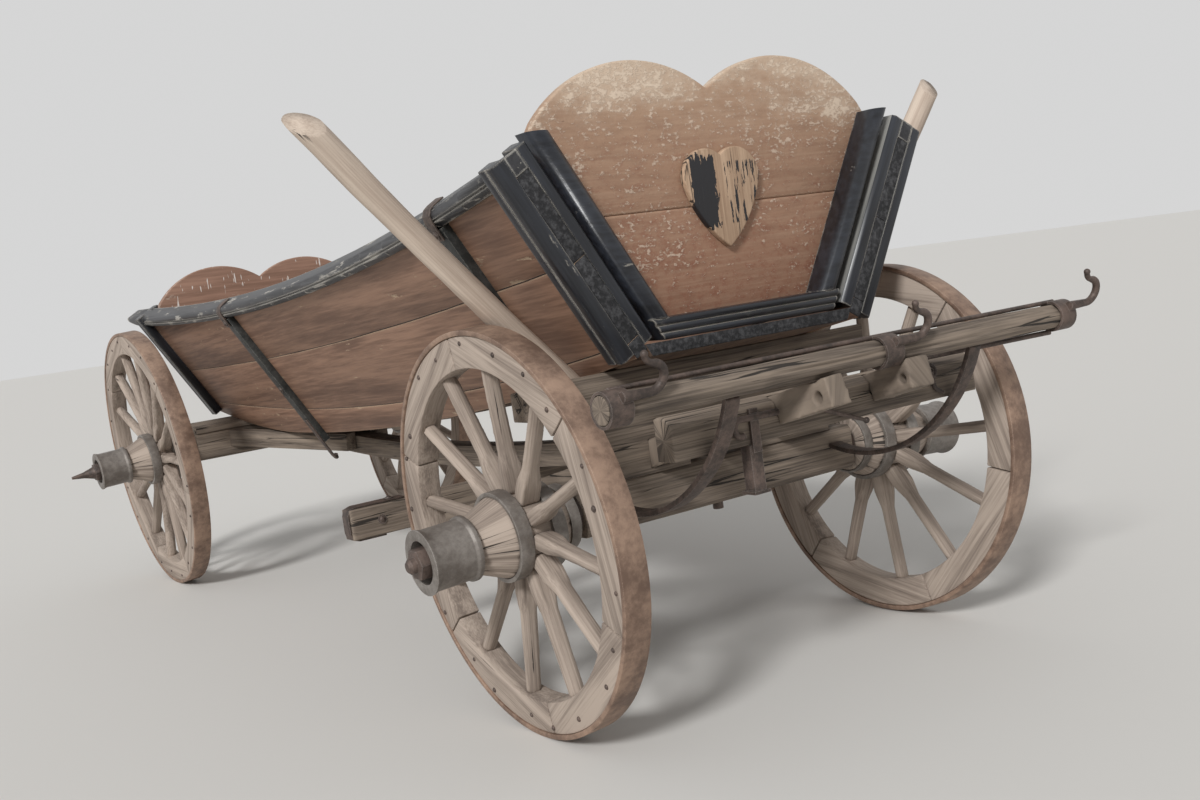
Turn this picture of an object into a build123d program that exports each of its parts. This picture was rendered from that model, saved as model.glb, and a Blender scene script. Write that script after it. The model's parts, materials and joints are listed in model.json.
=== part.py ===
"""Boat-shaped farm hay wagon on four wooden spoked wheels.

The front of the wagon faces -Y, +X is to the right seen from the front and +Z is up.
The origin lies on the ground under the middle of the wagon.  Sizes are in millimetres.
The side planks, the heart-topped end boards, the reach pole and the rear axle form the
wagon itself.  The front axle with its futchels, cross beam and splinter bar turns under
the front bolster about the king pin, and each wheel turns on its own cambered axle arm.
"""
import os
from math import asin, atan2, cos, degrees, hypot, radians, sin, sqrt, tan

from build123d import *

# stance
WHEELBASE = 2880
HALF_TRACK = 575
CAMBER = 3.5
FRONT_RADIUS = 460
REAR_RADIUS = 515

# wheels
FRONT_FELLOES = 6
REAR_FELLOES = 7
TYRE_WIDTH = 65
TYRE_THICK = 12
FELLOE_DEPTH = 72
FELLOE_WIDTH = 58
JOINT_GAP = 3
HOOP_FIT = 0.2
SPOKE_ROOT = (34, 50)
SPOKE_OVAL = (28, 44)
SPOKE_TIP = (30, 38)
SPOKE_SHOULDER = 50
SPOKE_EASE = 46
SPOKE_ARRIS = 3
SPOKE_CHAMFER = 11
TENON_THICK = 20
TENON_WIDTH = 36
TENON_DEPTH = 26
TONGUE_SIDE = 22
TONGUE_LENGTH = 34
DISH = 22
HUB_RADIUS = 92
HUB_INNER = 135
HUB_OUTER = 150
HUB_END_RADIUS = 72
HUB_NECK_RADIUS = 60
BAND_THICK = 10
BAND_WIDTH = 34
BAND_CLEAR = 2
END_BAND_THICK = 5
END_BAND_WIDTH = 26
NOSE_RADIUS = 68
NOSE_START = 112
NOSE_END = 225
NOSE_BORE = 48
NOSE_DEPTH = 41
BEAD = 5
FRONT_TURNS = (9, 37.8)
REAR_TURNS = (4, 12)

# axles
ARM_RADIUS = 28
ARM_PLAY = 0.5
SIDE_PLAY = 6
COLLAR_RADIUS = 44
COLLAR_LENGTH = 20
NUT_ACROSS = 62
NUT_THICK = 50
FRONT_POINT = ((17, 17, 12), (17, 11, 6))
REAR_POINT = ((25, 12, 40), (12, 5, 46))
AXLE_WIDTH = 110
AXLE_HEIGHT = 110
AXLE_CHAMFER = 10

# box: the sides are flat planks set at a flare, with edges cut to long curves
FLARE = 30
KEEL_HALF = 190
KEEL_DROP = 21
PLANK_THICK = 35
FRONT_OVERHANG = 220
REAR_OVERHANG = 150
KEEL_LOW_AHEAD = 580
RAIL_HEIGHT = 46
RAIL_OUT = 26
RAIL_IN = 10
RAIL_ROUND = 18
RAIL_GROOVE = 5
RAIL_TIP_BEHIND = 320
RAIL_TIP_HEIGHT = 513
STRIP_THICK = 36
STRIP_IN = 32
STRIP_WIDTH = 60
STRIP_SHORT = 12
STRIP_BEVEL = 8
STRIP_GROOVE = 5
STANCHION_WIDTH = 48
STANCHION_THICK = 24
FRONT_STANCHION_BEHIND = 180
REAR_STANCHION_AHEAD = 880
FRONT_STANCHION_FOOT = 8
REAR_STANCHION_FOOT = -33
FLOOR_THICK = 28
BOARD_THICK = 28
CLEAT_WIDTH = 48
CLEAT_GAP = 18
SILL_REEDS = 3
REED_RADIUS = 8
CLEAT_HEIGHT = 90
HEART_PROUD = 18
HEART_HEIGHT = 436
HEART_LOBE = (55, 112)
HEART_NOTCH = 97
HEART_SIDE = (110, 45)
HEART_WAIST = (72, -40)
HEART_POINT = -113

# running gear
BOLSTER_HALF = 500
REAR_BOLSTER_HALF = 410
SEAT_GAP = 0.3
TURN_HALF = 340
TURN_HEIGHT = 154
PLATE_HALF = 220
PLATE_WIDTH = 76
PLATE_THICK = 6
TURN_PLAY = 0.5
PIN_RADIUS = 13
PIN_PLAY = 0.5
PIN_HEAD_RADIUS = 24
PIN_HEAD = 14
PIN_SEAT = 30
PIN_BELOW = 24
REACH_WIDTH = 80
REACH_HEIGHT = 66
REACH_CLEAR = 12
REACH_SLOT_HALF = 105
REACH_SAG = 86
REACH_AHEAD = 100
REACH_BEHIND = 160
REAR_LET_IN = 56
STAKE_RADIUS = 31
STAKE_FOOT = 30
STAKE_OUT = 61.4
STAKE_CLEAR = 8
STAKE_LENGTH = 902
FUTCHEL_WIDTH = 62
FUTCHEL_HEIGHT = 66
FUTCHEL_HALF = 195
FUTCHEL_SPREAD = 0.13
FUTCHEL_RISE = 0.244
FUTCHEL_AHEAD = 590
FUTCHEL_BEHIND = 930
TONGUE_PIN_RADIUS = 11
TONGUE_PIN_INSET = 28
TONGUE_PIN_DROP = 6
SWAY_INSET = 50
SWAY_HALF = 600
SWAY_WIDTH = 60
SWAY_HEIGHT = 88
SWAY_CLEAR = 5
CROSS_INSET = 165
CROSS_HALF = 440
CROSS_WIDTH = 60
CROSS_HEIGHT = 90
CROSS_DROP = 20
CROSS_BEVEL = (16, 24)
LOG_INSET = 40
LOG_RADIUS = 29
LOG_HALF = 660
LOG_LET_IN = 4
HOOK_X = (-633, 62, 633)
HOOK_REACH = 70
HOOK_SEAT = 60
HOOK_SHANK = 63
HOOK_BAR = (10.5, 8.5, 6.5)
HOOK_BEND = 28
HOOK_TURN = 165
HOOK_NECK = 12
HOOK_FLARE = 24
HOOK_FLARE_TURN = 65
HOOK_KNOB = 7.5
HOOK_BAND_WIDTH = 50
HOOK_BAND_THICK = 6
LOG_ROD = 5
LOG_ROD_BEHIND = 15
BRACE_X = 350
BRACE_WIDTH = 36
BRACE_THICK = 12
BRACE_BACK = 20
BRACE_DROP = 40
BRACE_SWELL = (30, 45)
IRON_THICK = 7
ROSETTE_X = 290
ROSETTE_RADIUS = 19
ROSETTE_DROP = 24
TAIL_HEADING = -80
TAIL_ROWS = ((30, 6, 5, 20, 55), (18, 5, 4, 0, 0))
HANGER_X = -236
HANGER_WIDTH = 22
BLOCK_ACROSS = 30
BLOCK_LENGTH = 95
BLOCK_FOOT = 42
CURL_X = -175
CURL_DROP = 33
CURL_ROWS = ((100, 8, 7, 17, 200),)
ROD_X = -98
ROD_HEADING = -20
ROD_ROWS = ((185, 5, 4, 0, 0),)
ROD_KNOB = 7
STAY_X = (176, 600)
STAY_RADIUS = 6
REAR_HOUND_WIDTH = 46
REAR_HOUND_HALF = 290
REAR_HOUND_LENGTH = 800
REAR_HOUND_DROPS = (12, 50)
REAR_HOUND_PAST = 25

# places along the wagon
LOG_AHEAD = FUTCHEL_AHEAD - LOG_INSET
CROSS_AHEAD = FUTCHEL_AHEAD - CROSS_INSET
TONGUE_PIN_AHEAD = FUTCHEL_AHEAD - TONGUE_PIN_INSET
SWAY_BEHIND = FUTCHEL_BEHIND - SWAY_INSET
FRONT_REACH = LOG_AHEAD + HOOK_REACH
FRONT_Y = (FRONT_REACH - WHEELBASE - REAR_RADIUS) / 2
REAR_Y = FRONT_Y + WHEELBASE
BODY_FRONT = FRONT_Y - FRONT_OVERHANG
BODY_REAR = REAR_Y + REAR_OVERHANG
BODY_MIDDLE = (BODY_FRONT + BODY_REAR) / 2
KEEL_LOW_Y = REAR_Y - KEEL_LOW_AHEAD

# heights: the wheels carry the axles, and the bolsters on the axles carry the box
LEAN = radians(CAMBER)
BEAM_END = HUB_INNER + SIDE_PLAY + COLLAR_LENGTH
NUT_START = NOSE_END - NOSE_DEPTH + SIDE_PLAY


def wheel_height(radius):
    """Height of the middle of a leaning wheel whose tyre's inner edge is on the ground."""
    return radius * cos(LEAN) + TYRE_WIDTH / 2 * sin(LEAN)


def axle_top(radius):
    """Height of the top of an axle beam, set by where the arm's axis enters it."""
    return wheel_height(radius) + BEAM_END * sin(LEAN) + AXLE_HEIGHT / 2


FRONT_TOP = axle_top(FRONT_RADIUS)
REAR_TOP = axle_top(REAR_RADIUS)
SLOT_TOP = FRONT_TOP + REACH_HEIGHT + 2 * REACH_CLEAR
TURN_TOP = FRONT_TOP + TURN_HEIGHT
BOLSTER_Z = TURN_TOP + 2 * PLATE_THICK + TURN_PLAY
MIDDLE_Z = (BOLSTER_Z + REAR_TOP) / 2
KEEL_Z = REAR_TOP - KEEL_DROP

os.makedirs("parts", exist_ok=True)


def save(piece, name):
    """Label one finished piece and write its file."""
    piece.label = name
    export_step(piece, f"parts/{name}.step")


def up_the_side(z):
    """Distance up the sloping side from the keel line to height z."""
    return (z - KEEL_Z) / cos(radians(FLARE))


def side_plane(out=0):
    """Plane of the right side's outer face, moved outwards; its x runs along the wagon."""
    slope = radians(FLARE)
    return Plane(
        origin=(KEEL_HALF + out * cos(slope), 0, KEEL_Z - out * sin(slope)),
        x_dir=(0, 1, 0),
        z_dir=(cos(slope), 0, -sin(slope)),
    )


def half_width(z, out=0):
    """Distance from the middle of the wagon to the side's outer face at height z."""
    return KEEL_HALF + (z - KEEL_Z) * tan(radians(FLARE)) + out / cos(radians(FLARE))


def mirrored(piece):
    """The same piece on the left side of the wagon."""
    with BuildPart() as other:
        mirror(piece, about=Plane.YZ)
    return other.part


# Edges of the side planks: height of the front end over the front bolster's foot, of the
# middle over the mean of the two axles' seats, and of the rear end over the rear axle.
TOP_EDGE = (517, 413, 470)
UPPER_SEAM = (331, 255, 253)
LOWER_SEAM = (147, 43, 111)
KEEL_EDGE = (113, -7, 63)


def edge_points(edge):
    """Three points of one plank edge, in the side's own plane."""
    ahead, between, behind = edge
    return (
        (BODY_FRONT, up_the_side(BOLSTER_Z + ahead)),
        (BODY_MIDDLE, up_the_side(MIDDLE_Z + between)),
        (BODY_REAR, up_the_side(REAR_TOP + behind)),
    )


def keel_line(rise=0, sloping=False):
    """Draw the keel's curve, as seen from the side or in the side's own plane."""
    ahead, between, behind = KEEL_EDGE
    points = [
        (BODY_FRONT, BOLSTER_Z + ahead),
        ((BODY_FRONT + KEEL_LOW_Y) / 2, MIDDLE_Z + between),
        (KEEL_LOW_Y, KEEL_Z),
        (BODY_REAR, REAR_TOP + behind),
    ]
    points = [(y, up_the_side(z) if sloping else z + rise) for y, z in points]
    ThreePointArc(*points[:3])
    TangentArc(points[2], points[3], tangent=(1, 0))
    return points[0], points[3]


# side planks: name, lower edge and upper edge
for name, lower, upper in (
    ("top_plank", UPPER_SEAM, TOP_EDGE),
    ("middle_plank", LOWER_SEAM, UPPER_SEAM),
    ("bottom_plank", KEEL_EDGE, LOWER_SEAM),
):
    with BuildPart() as plank:
        with BuildSketch(side_plane(-PLANK_THICK)):
            with BuildLine():
                top = edge_points(upper)
                ThreePointArc(*top)
                if lower is KEEL_EDGE:
                    ends = keel_line(sloping=True)
                else:
                    low = edge_points(lower)
                    ThreePointArc(*low)
                    ends = (low[0], low[2])
                Line(ends[0], top[0])
                Line(ends[1], top[2])
            make_face()
        extrude(amount=PLANK_THICK)
    save(plank.part, f"{name}_right")
    save(mirrored(plank.part), f"{name}_left")

# mouldings down both ends of each side, one outside the planks and one inside, flush with
# the planks' own ends and as high as the rail
up_side = side_plane().y_dir
groove = (STRIP_WIDTH - STRIP_GROOVE) / 2
inner = -PLANK_THICK - STRIP_IN
with BuildPart() as strips:
    for end_y, outwards, foot_z, top_z in (
        (BODY_FRONT, -1, BOLSTER_Z + KEEL_EDGE[0], BOLSTER_Z + TOP_EDGE[0]),
        (BODY_REAR, 1, REAR_TOP + KEEL_EDGE[2], REAR_TOP + TOP_EDGE[2]),
    ):
        low, high = up_the_side(foot_z) + STRIP_SHORT, up_the_side(top_z) + RAIL_HEIGHT
        foot = side_plane().from_local_coords(Vector(end_y, low))
        # each outline: how far in from the end of the side, and how far out from its face
        for outline in (
            (
                (0, 0),
                (0, STRIP_THICK - STRIP_BEVEL),
                (STRIP_BEVEL, STRIP_THICK),
                (groove, STRIP_THICK),
                (groove, STRIP_THICK - STRIP_GROOVE),
                (groove + STRIP_GROOVE, STRIP_THICK - STRIP_GROOVE),
                (groove + STRIP_GROOVE, STRIP_THICK),
                (STRIP_WIDTH, STRIP_THICK),
                (STRIP_WIDTH, 0),
            ),
            (
                (0, -PLANK_THICK),
                (0, inner + STRIP_BEVEL),
                (STRIP_BEVEL, inner),
                (STRIP_WIDTH, inner),
                (STRIP_WIDTH, -PLANK_THICK),
            ),
        ):
            with BuildSketch(Plane(origin=foot, x_dir=(0, -outwards, 0), z_dir=up_side)):
                with BuildLine():
                    Polyline(*[(back, out * outwards) for back, out in outline], close=True)
                make_face()
            extrude(amount=high - low)
save(strips.part, "end_strips_right")
save(mirrored(strips.part), "end_strips_left")

# rail along the top of each side, its outside rounded to two reeds and its rear end drawn
# out to a point
with BuildPart() as rail_right:
    with BuildSketch(side_plane(-PLANK_THICK - RAIL_IN)):
        with BuildLine():
            low = edge_points(TOP_EDGE)
            high = [(y, v + RAIL_HEIGHT) for y, v in low]
            ThreePointArc(*low)
            ThreePointArc(*high)
            Line(low[0], high[0])
            tip_z = REAR_TOP + RAIL_TIP_HEIGHT
            Polyline(low[2], (REAR_Y + RAIL_TIP_BEHIND, up_the_side(tip_z)), high[2])
        make_face()
    extrude(amount=PLANK_THICK + RAIL_IN + RAIL_OUT)
    outside = rail_right.faces().sort_by(Axis((0, 0, 0), side_plane().z_dir))[-1]
    fillet(outside.edges().filter_by(GeomType.CIRCLE), RAIL_ROUND)
    with BuildSketch(side_plane(RAIL_OUT)):
        with BuildLine():
            for above in (-RAIL_GROOVE / 2, RAIL_GROOVE / 2):
                ThreePointArc(*[(y, v + RAIL_HEIGHT / 2 + above) for y, v in low])
            for y, v in (low[0], low[2]):
                middle = v + RAIL_HEIGHT / 2
                Line((y, middle - RAIL_GROOVE / 2), (y, middle + RAIL_GROOVE / 2))
        make_face()
    extrude(amount=-RAIL_GROOVE, mode=Mode.SUBTRACT)
    add(strips.part, mode=Mode.SUBTRACT)
save(rail_right.part, "rail_right")
save(mirrored(rail_right.part), "rail_left")

# floor boards, bent to the keel line between the sides
with BuildPart() as floor:
    with BuildSketch(Plane.YZ.offset(-HALF_TRACK)):
        with BuildLine():
            under = keel_line()
            over = keel_line(FLOOR_THICK)
            Line(under[0], over[0])
            Line(under[1], over[1])
        make_face()
    extrude(amount=2 * HALF_TRACK)
    for side in (1, -1):
        face = side_plane(-PLANK_THICK)
        cut = Plane(
            origin=(side * face.origin.X, 0, face.origin.Z),
            x_dir=(0, 1, 0),
            z_dir=(side * face.z_dir.X, 0, face.z_dir.Z),
        )
        split(bisect_by=cut, keep=Keep.BOTTOM)
save(floor.part, "floor")

# End boards: two planks one above the other, the upper one cut to two lobes.
# Heights of each board's foot, its seam, where its edge meets the side, and the notch, then
# the top and the shoulder of a lobe; all over the front bolster's foot or the rear axle.
FRONT_HEIGHTS = (142, 423, 533, 686)
FRONT_LOBE = (206, 754)
FRONT_SHOULDER = (470, 633)
REAR_HEIGHTS = (92, 349, 489, 606)
REAR_LOBE = (185, 669)
REAR_SHOULDER = (440, 537)
FRONT_FACE = BODY_FRONT + STRIP_WIDTH
REAR_FACE = BODY_REAR - STRIP_WIDTH

# columns: end, plane of the outer face, way inwards, height that the rest is measured from,
# and the heights and points of the board
for end, face_y, inwards, datum, heights, lobe, shoulder in (
    ("front", FRONT_FACE, 1, BOLSTER_Z, FRONT_HEIGHTS, FRONT_LOBE, FRONT_SHOULDER),
    ("rear", REAR_FACE, -1, REAR_TOP, REAR_HEIGHTS, REAR_LOBE, REAR_SHOULDER),
):
    foot_z, seam_z, side_z, notch_z = (datum + up for up in heights)
    lobe, shoulder = ((across, datum + up) for across, up in (lobe, shoulder))
    for half, low_z, high_z in (("lower", foot_z, seam_z), ("upper", seam_z, 2 * lobe[1])):
        with BuildPart() as board:
            with BuildSketch(Plane.XZ.offset(-face_y)):
                with BuildLine():
                    ThreePointArc((0, notch_z), lobe, shoulder)
                    Polyline(
                        shoulder,
                        (half_width(side_z, -PLANK_THICK), side_z),
                        (half_width(foot_z, -PLANK_THICK), foot_z),
                        (0, foot_z),
                        (0, notch_z),
                    )
                make_face()
                mirror(about=Plane.YZ)
                with Locations((0, (low_z + high_z) / 2)):
                    Rectangle(4 * HALF_TRACK, high_z - low_z, mode=Mode.INTERSECT)
            extrude(amount=-inwards * BOARD_THICK)
            add(rail_right.part, mode=Mode.SUBTRACT)
            add(mirrored(rail_right.part), mode=Mode.SUBTRACT)
        save(board.part, f"{end}_board_{half}")

    # black battens on the outer face: a sill of reeds, and a cleat with a round face standing
    # on it along each edge of the board
    edge = -PLANK_THICK - STRIP_IN - CLEAT_GAP
    cleat_z = side_z + CLEAT_HEIGHT
    sill_z = foot_z + 2 * SILL_REEDS * REED_RADIUS
    sill_deep = STRIP_WIDTH - REED_RADIUS
    cleat_foot = side_plane(edge - CLEAT_WIDTH / 2).from_local_coords(Vector(face_y, 0))
    with BuildPart() as cleat:
        with BuildSketch(Plane(origin=cleat_foot, x_dir=(0, -inwards, 0), z_dir=up_side)):
            Rectangle(STRIP_WIDTH - CLEAT_WIDTH / 2, CLEAT_WIDTH, align=(Align.MIN, Align.CENTER))
            with Locations((STRIP_WIDTH - CLEAT_WIDTH / 2, 0)):
                Circle(CLEAT_WIDTH / 2)
        extrude(amount=up_the_side(cleat_z))
        split(bisect_by=Plane.XY.offset(sill_z), keep=Keep.TOP)
    with BuildPart() as battens:
        with BuildSketch(Plane.YZ.offset(-HALF_TRACK)):
            with Locations((face_y - inwards * sill_deep / 2, (foot_z + sill_z) / 2)):
                Rectangle(sill_deep, sill_z - foot_z)
            for reed in range(SILL_REEDS):
                with Locations((face_y - inwards * sill_deep, foot_z + (2 * reed + 1) * REED_RADIUS)):
                    Circle(REED_RADIUS)
        extrude(amount=2 * HALF_TRACK)
        with BuildSketch(Plane.XZ.offset(-face_y)):
            with BuildLine():
                Polyline(
                    (0, foot_z),
                    (half_width(foot_z, edge), foot_z),
                    (half_width(sill_z, edge), sill_z),
                    (0, sill_z),
                    close=True,
                )
            make_face()
            mirror(about=Plane.YZ)
        extrude(amount=inwards * STRIP_WIDTH, mode=Mode.INTERSECT)
        add(cleat.part)
        add(mirrored(cleat.part))
    save(battens.part, f"{end}_battens")

# raised heart in the middle of the front board
with BuildPart() as heart:
    middle = Plane(
        origin=(0, FRONT_FACE, BOLSTER_Z + HEART_HEIGHT), x_dir=(1, 0, 0), z_dir=(0, -1, 0)
    )
    with BuildSketch(middle):
        with BuildLine():
            ThreePointArc((0, HEART_NOTCH), HEART_LOBE, HEART_SIDE)
            ThreePointArc(HEART_SIDE, HEART_WAIST, (0, HEART_POINT))
            Line((0, HEART_POINT), (0, HEART_NOTCH))
        make_face()
        mirror(about=Plane.YZ)
    extrude(amount=HEART_PROUD)
save(heart.part, "front_heart")

# stanchions on the outside of each side, from below the keel to the underside of the rail;
# columns: place along the wagon and height of the foot
with BuildPart() as stanchions:
    for y, foot_z in (
        (FRONT_Y + FRONT_STANCHION_BEHIND, BOLSTER_Z + FRONT_STANCHION_FOOT),
        (REAR_Y - REAR_STANCHION_AHEAD, REAR_TOP + REAR_STANCHION_FOOT),
    ):
        foot = up_the_side(foot_z)
        with BuildSketch(side_plane()):
            with BuildLine():
                top = [(along, v - SEAT_GAP) for along, v in edge_points(TOP_EDGE)]
                ThreePointArc(*top)
                Polyline(top[0], (top[0][0], foot), (top[2][0], foot), top[2])
            make_face()
            with Locations((y, foot)):
                Rectangle(STANCHION_WIDTH, 2 * top[0][1], mode=Mode.INTERSECT)
        extrude(amount=STANCHION_THICK)
save(stanchions.part, "stanchions_right")
save(mirrored(stanchions.part), "stanchions_left")


def wheel_plane(radius, y, side):
    """Plane through the middle of one wheel, its z pointing outwards along the arm."""
    return Plane(
        origin=(side * HALF_TRACK, y, wheel_height(radius)),
        x_dir=(0, 1, 0),
        z_dir=(side * cos(LEAN), 0, -sin(LEAN)),
    )


def ring(inner, outer, start, end):
    """Round hoop about the wheel's axis."""
    with BuildPart() as hoop:
        with BuildSketch(Plane.XY.offset(start)):
            Circle(outer)
            Circle(inner, mode=Mode.SUBTRACT)
        extrude(amount=end - start)
    return hoop.part


def wheel_pieces(radius, felloe_count):
    """The pieces of one wheel, with its axis along z and its middle at the origin."""
    rim = radius - TYRE_THICK - HOOP_FIT
    inside = rim - FELLOE_DEPTH
    shoulder = sqrt(inside**2 - SPOKE_TIP[0] ** 2 / 4)
    count = 2 * felloe_count
    first = 180 / count
    outward = (Align.MIN, Align.CENTER, Align.CENTER)
    inward = (Align.MAX, Align.CENTER, Align.CENTER)

    tyre = ring(radius - TYRE_THICK, radius, -TYRE_WIDTH / 2, TYRE_WIDTH / 2)

    with BuildPart() as spoke:
        for r, section, corner in (
            (HUB_RADIUS, SPOKE_ROOT, SPOKE_ARRIS),
            (HUB_RADIUS + SPOKE_SHOULDER, SPOKE_ROOT, SPOKE_ARRIS),
            (HUB_RADIUS + SPOKE_SHOULDER + SPOKE_EASE, SPOKE_OVAL, SPOKE_CHAMFER),
            (shoulder, SPOKE_TIP, SPOKE_CHAMFER),
        ):
            with BuildSketch(Plane.YZ.offset(r)) as profile:
                with Locations((0, -DISH * (shoulder - r) / (shoulder - HUB_RADIUS))):
                    Rectangle(*section)
                chamfer(profile.vertices(), corner)
        loft(ruled=True)
        with Locations((HUB_RADIUS, 0, -DISH)):
            Box(TENON_DEPTH, TENON_THICK, TENON_WIDTH, align=inward)
        with Locations((shoulder, 0, 0)):
            Box(TONGUE_LENGTH, TONGUE_SIDE, TONGUE_SIDE, align=outward)
    with BuildPart() as spokes:
        with PolarLocations(0, count, start_angle=first):
            add(spoke.part)

    with BuildPart() as felloes:
        add(ring(inside, rim, -FELLOE_WIDTH / 2, FELLOE_WIDTH / 2))
        with PolarLocations(shoulder, count, start_angle=first):
            Box(TONGUE_LENGTH, TONGUE_SIDE, TONGUE_SIDE, align=outward, mode=Mode.SUBTRACT)
        with PolarLocations(inside + FELLOE_DEPTH / 2, felloe_count):
            Box(2 * FELLOE_DEPTH, JOINT_GAP, FELLOE_WIDTH, mode=Mode.SUBTRACT)

    bore = ARM_RADIUS + ARM_PLAY
    band_back = -DISH - SPOKE_ROOT[1] / 2 - BAND_CLEAR - BAND_WIDTH
    band_front = -DISH + SPOKE_ROOT[1] / 2 + BAND_CLEAR + BAND_WIDTH
    with BuildPart() as hub:
        with BuildSketch(Plane.XZ):
            Polygon(
                (bore, -HUB_INNER),
                (HUB_END_RADIUS, -HUB_INNER),
                (HUB_END_RADIUS, -HUB_INNER + END_BAND_WIDTH),
                (HUB_RADIUS, band_back),
                (HUB_RADIUS, band_front),
                (HUB_NECK_RADIUS, NOSE_START),
                (HUB_NECK_RADIUS, HUB_OUTER),
                (bore, HUB_OUTER),
                align=None,
            )
        revolve(axis=Axis.Z)
        with PolarLocations(HUB_RADIUS, count, start_angle=first):
            with Locations((0, 0, -DISH)):
                Box(TENON_DEPTH, TENON_THICK, TENON_WIDTH, align=inward, mode=Mode.SUBTRACT)

    on_hub = HUB_RADIUS + HOOP_FIT
    on_end = HUB_END_RADIUS + HOOP_FIT
    on_neck = HUB_NECK_RADIUS + HOOP_FIT
    with BuildPart() as irons:
        add(ring(on_hub, on_hub + BAND_THICK, band_back, band_back + BAND_WIDTH))
        add(ring(on_hub, on_hub + BAND_THICK, band_front - BAND_WIDTH, band_front))
        add(ring(on_end, on_end + END_BAND_THICK, -HUB_INNER, -HUB_INNER + END_BAND_WIDTH))
        with BuildSketch(Plane.XZ):
            Polygon(
                (on_neck, NOSE_START),
                (NOSE_RADIUS + BEAD, NOSE_START),
                (NOSE_RADIUS + BEAD, NOSE_START + 2 * BEAD),
                (NOSE_RADIUS, NOSE_START + 3 * BEAD),
                (NOSE_RADIUS, NOSE_END - 3 * BEAD),
                (NOSE_RADIUS + BEAD, NOSE_END),
                (NOSE_BORE, NOSE_END),
                (NOSE_BORE, NOSE_END - NOSE_DEPTH),
                (bore, NOSE_END - NOSE_DEPTH),
                (bore, HUB_OUTER + HOOP_FIT),
                (on_neck, HUB_OUTER + HOOP_FIT),
                align=None,
            )
        revolve(axis=Axis.Z)
    return {
        "hub": hub.part,
        "hub_irons": irons.part,
        "spokes": spokes.part,
        "felloes": felloes.part,
        "tyre": tyre,
    }


# wheels, each turned on its arm as it came to rest
for end, radius, y, felloe_count, turns in (
    ("front", FRONT_RADIUS, FRONT_Y, FRONT_FELLOES, FRONT_TURNS),
    ("rear", REAR_RADIUS, REAR_Y, REAR_FELLOES, REAR_TURNS),
):
    pieces = wheel_pieces(radius, felloe_count)
    for side, hand, turn in ((1, "right", turns[0]), (-1, "left", turns[1])):
        place = wheel_plane(radius, y, side).location * Location((0, 0, 0), (0, 0, turn))
        for name, piece in pieces.items():
            save(piece.moved(place), f"{end}_{hand}_{name}")


def axle(radius, y, point):
    """Wooden beam with an iron arm out of each end, leaning down to suit the wheels.

    The point on each nut is given by stages: radius at the start and end, and length.
    """
    with BuildPart() as beam:
        with Locations((0, y, axle_top(radius) - AXLE_HEIGHT / 2)):
            Box(2 * (HALF_TRACK - BEAM_END * cos(LEAN)), AXLE_WIDTH, AXLE_HEIGHT)
        chamfer(beam.edges().filter_by(Axis.X), AXLE_CHAMFER)
        for side in (1, -1):
            middle = wheel_plane(radius, y, side)
            for start, end, across in (
                (-BEAM_END - COLLAR_LENGTH, -BEAM_END + COLLAR_LENGTH, COLLAR_RADIUS),
                (-BEAM_END, NUT_START, ARM_RADIUS),
            ):
                with BuildSketch(middle.offset(start)):
                    Circle(across)
                extrude(amount=end - start)
            with BuildSketch(middle.offset(NUT_START)):
                RegularPolygon(NUT_ACROSS / 2, 6, major_radius=False)
            extrude(amount=NUT_THICK)
            start = NUT_START + NUT_THICK
            for wide, narrow, length in point:
                with BuildSketch(middle.offset(start)):
                    Circle(wide)
                extrude(amount=length, taper=degrees(atan2(wide - narrow, length)))
                start += length
    return beam.part


def timber(start, end, width, height):
    """Straight squared bar between the middles of its two ends."""
    along = Vector(*end) - Vector(*start)
    with BuildPart() as bar:
        with BuildSketch(Plane(origin=start, x_dir=(-along.Y, along.X, 0), z_dir=along)):
            Rectangle(width, height)
        extrude(amount=along.length)
    return bar.part


def block(x_size, y_size, low_z, high_z, y):
    """Squared block across the middle of the wagon."""
    with BuildPart() as box:
        with Locations((0, y, (low_z + high_z) / 2)):
            Box(x_size, y_size, high_z - low_z)
    return box.part


def bolster(y, low_z, half):
    """Bolster across the wagon, its top cut to seat under the floor boards."""
    with BuildPart() as beam:
        with BuildSketch(Plane.YZ.offset(-half)):
            with BuildLine():
                ends = keel_line(-SEAT_GAP)
                Polyline(ends[0], (ends[0][0], 0), (ends[1][0], 0), ends[1])
            make_face()
            with Locations((y, low_z)):
                Rectangle(AXLE_WIDTH, KEEL_Z, align=(Align.CENTER, Align.MIN), mode=Mode.INTERSECT)
        extrude(amount=2 * half)
    return beam.part


PIN_PLANE = Plane(origin=(0, FRONT_Y, 0))

# reach pole: one bowed timber from the king pin to behind the rear axle
reach_front = (FRONT_Y, FRONT_TOP + REACH_CLEAR + REACH_HEIGHT / 2)
reach_rear = (REAR_Y, REAR_TOP + REACH_HEIGHT / 2 - REAR_LET_IN)
reach_low = ((FRONT_Y + REAR_Y) / 2, (reach_front[1] + reach_rear[1]) / 2 - REACH_SAG)
with BuildPart() as reach_pole:
    with BuildSketch(Plane.YZ.offset(-REACH_WIDTH / 2)):
        with BuildLine():
            middle = ThreePointArc(reach_front, reach_low, reach_rear)
            Line(reach_front, Vector(*reach_front) - (middle % 0) * REACH_AHEAD)
            Line(reach_rear, Vector(*reach_rear) + (middle % 1) * REACH_BEHIND)
            offset(amount=REACH_HEIGHT / 2, side=Side.BOTH, closed=True)
        make_face()
    extrude(amount=REACH_WIDTH)
    with BuildSketch(PIN_PLANE):
        Circle(PIN_RADIUS)
    extrude(amount=TURN_TOP, mode=Mode.SUBTRACT)


def reach_pole_underside(y):
    """Height of the lowest face of the reach pole above one place along the wagon."""
    with BuildPart() as slice_at:
        add(reach_pole.part)
        with Locations((0, y, reach_low[1])):
            Box(REACH_WIDTH, SWAY_WIDTH, 4 * REACH_HEIGHT, mode=Mode.INTERSECT)
    return slice_at.part.bounding_box().min.Z


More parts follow.
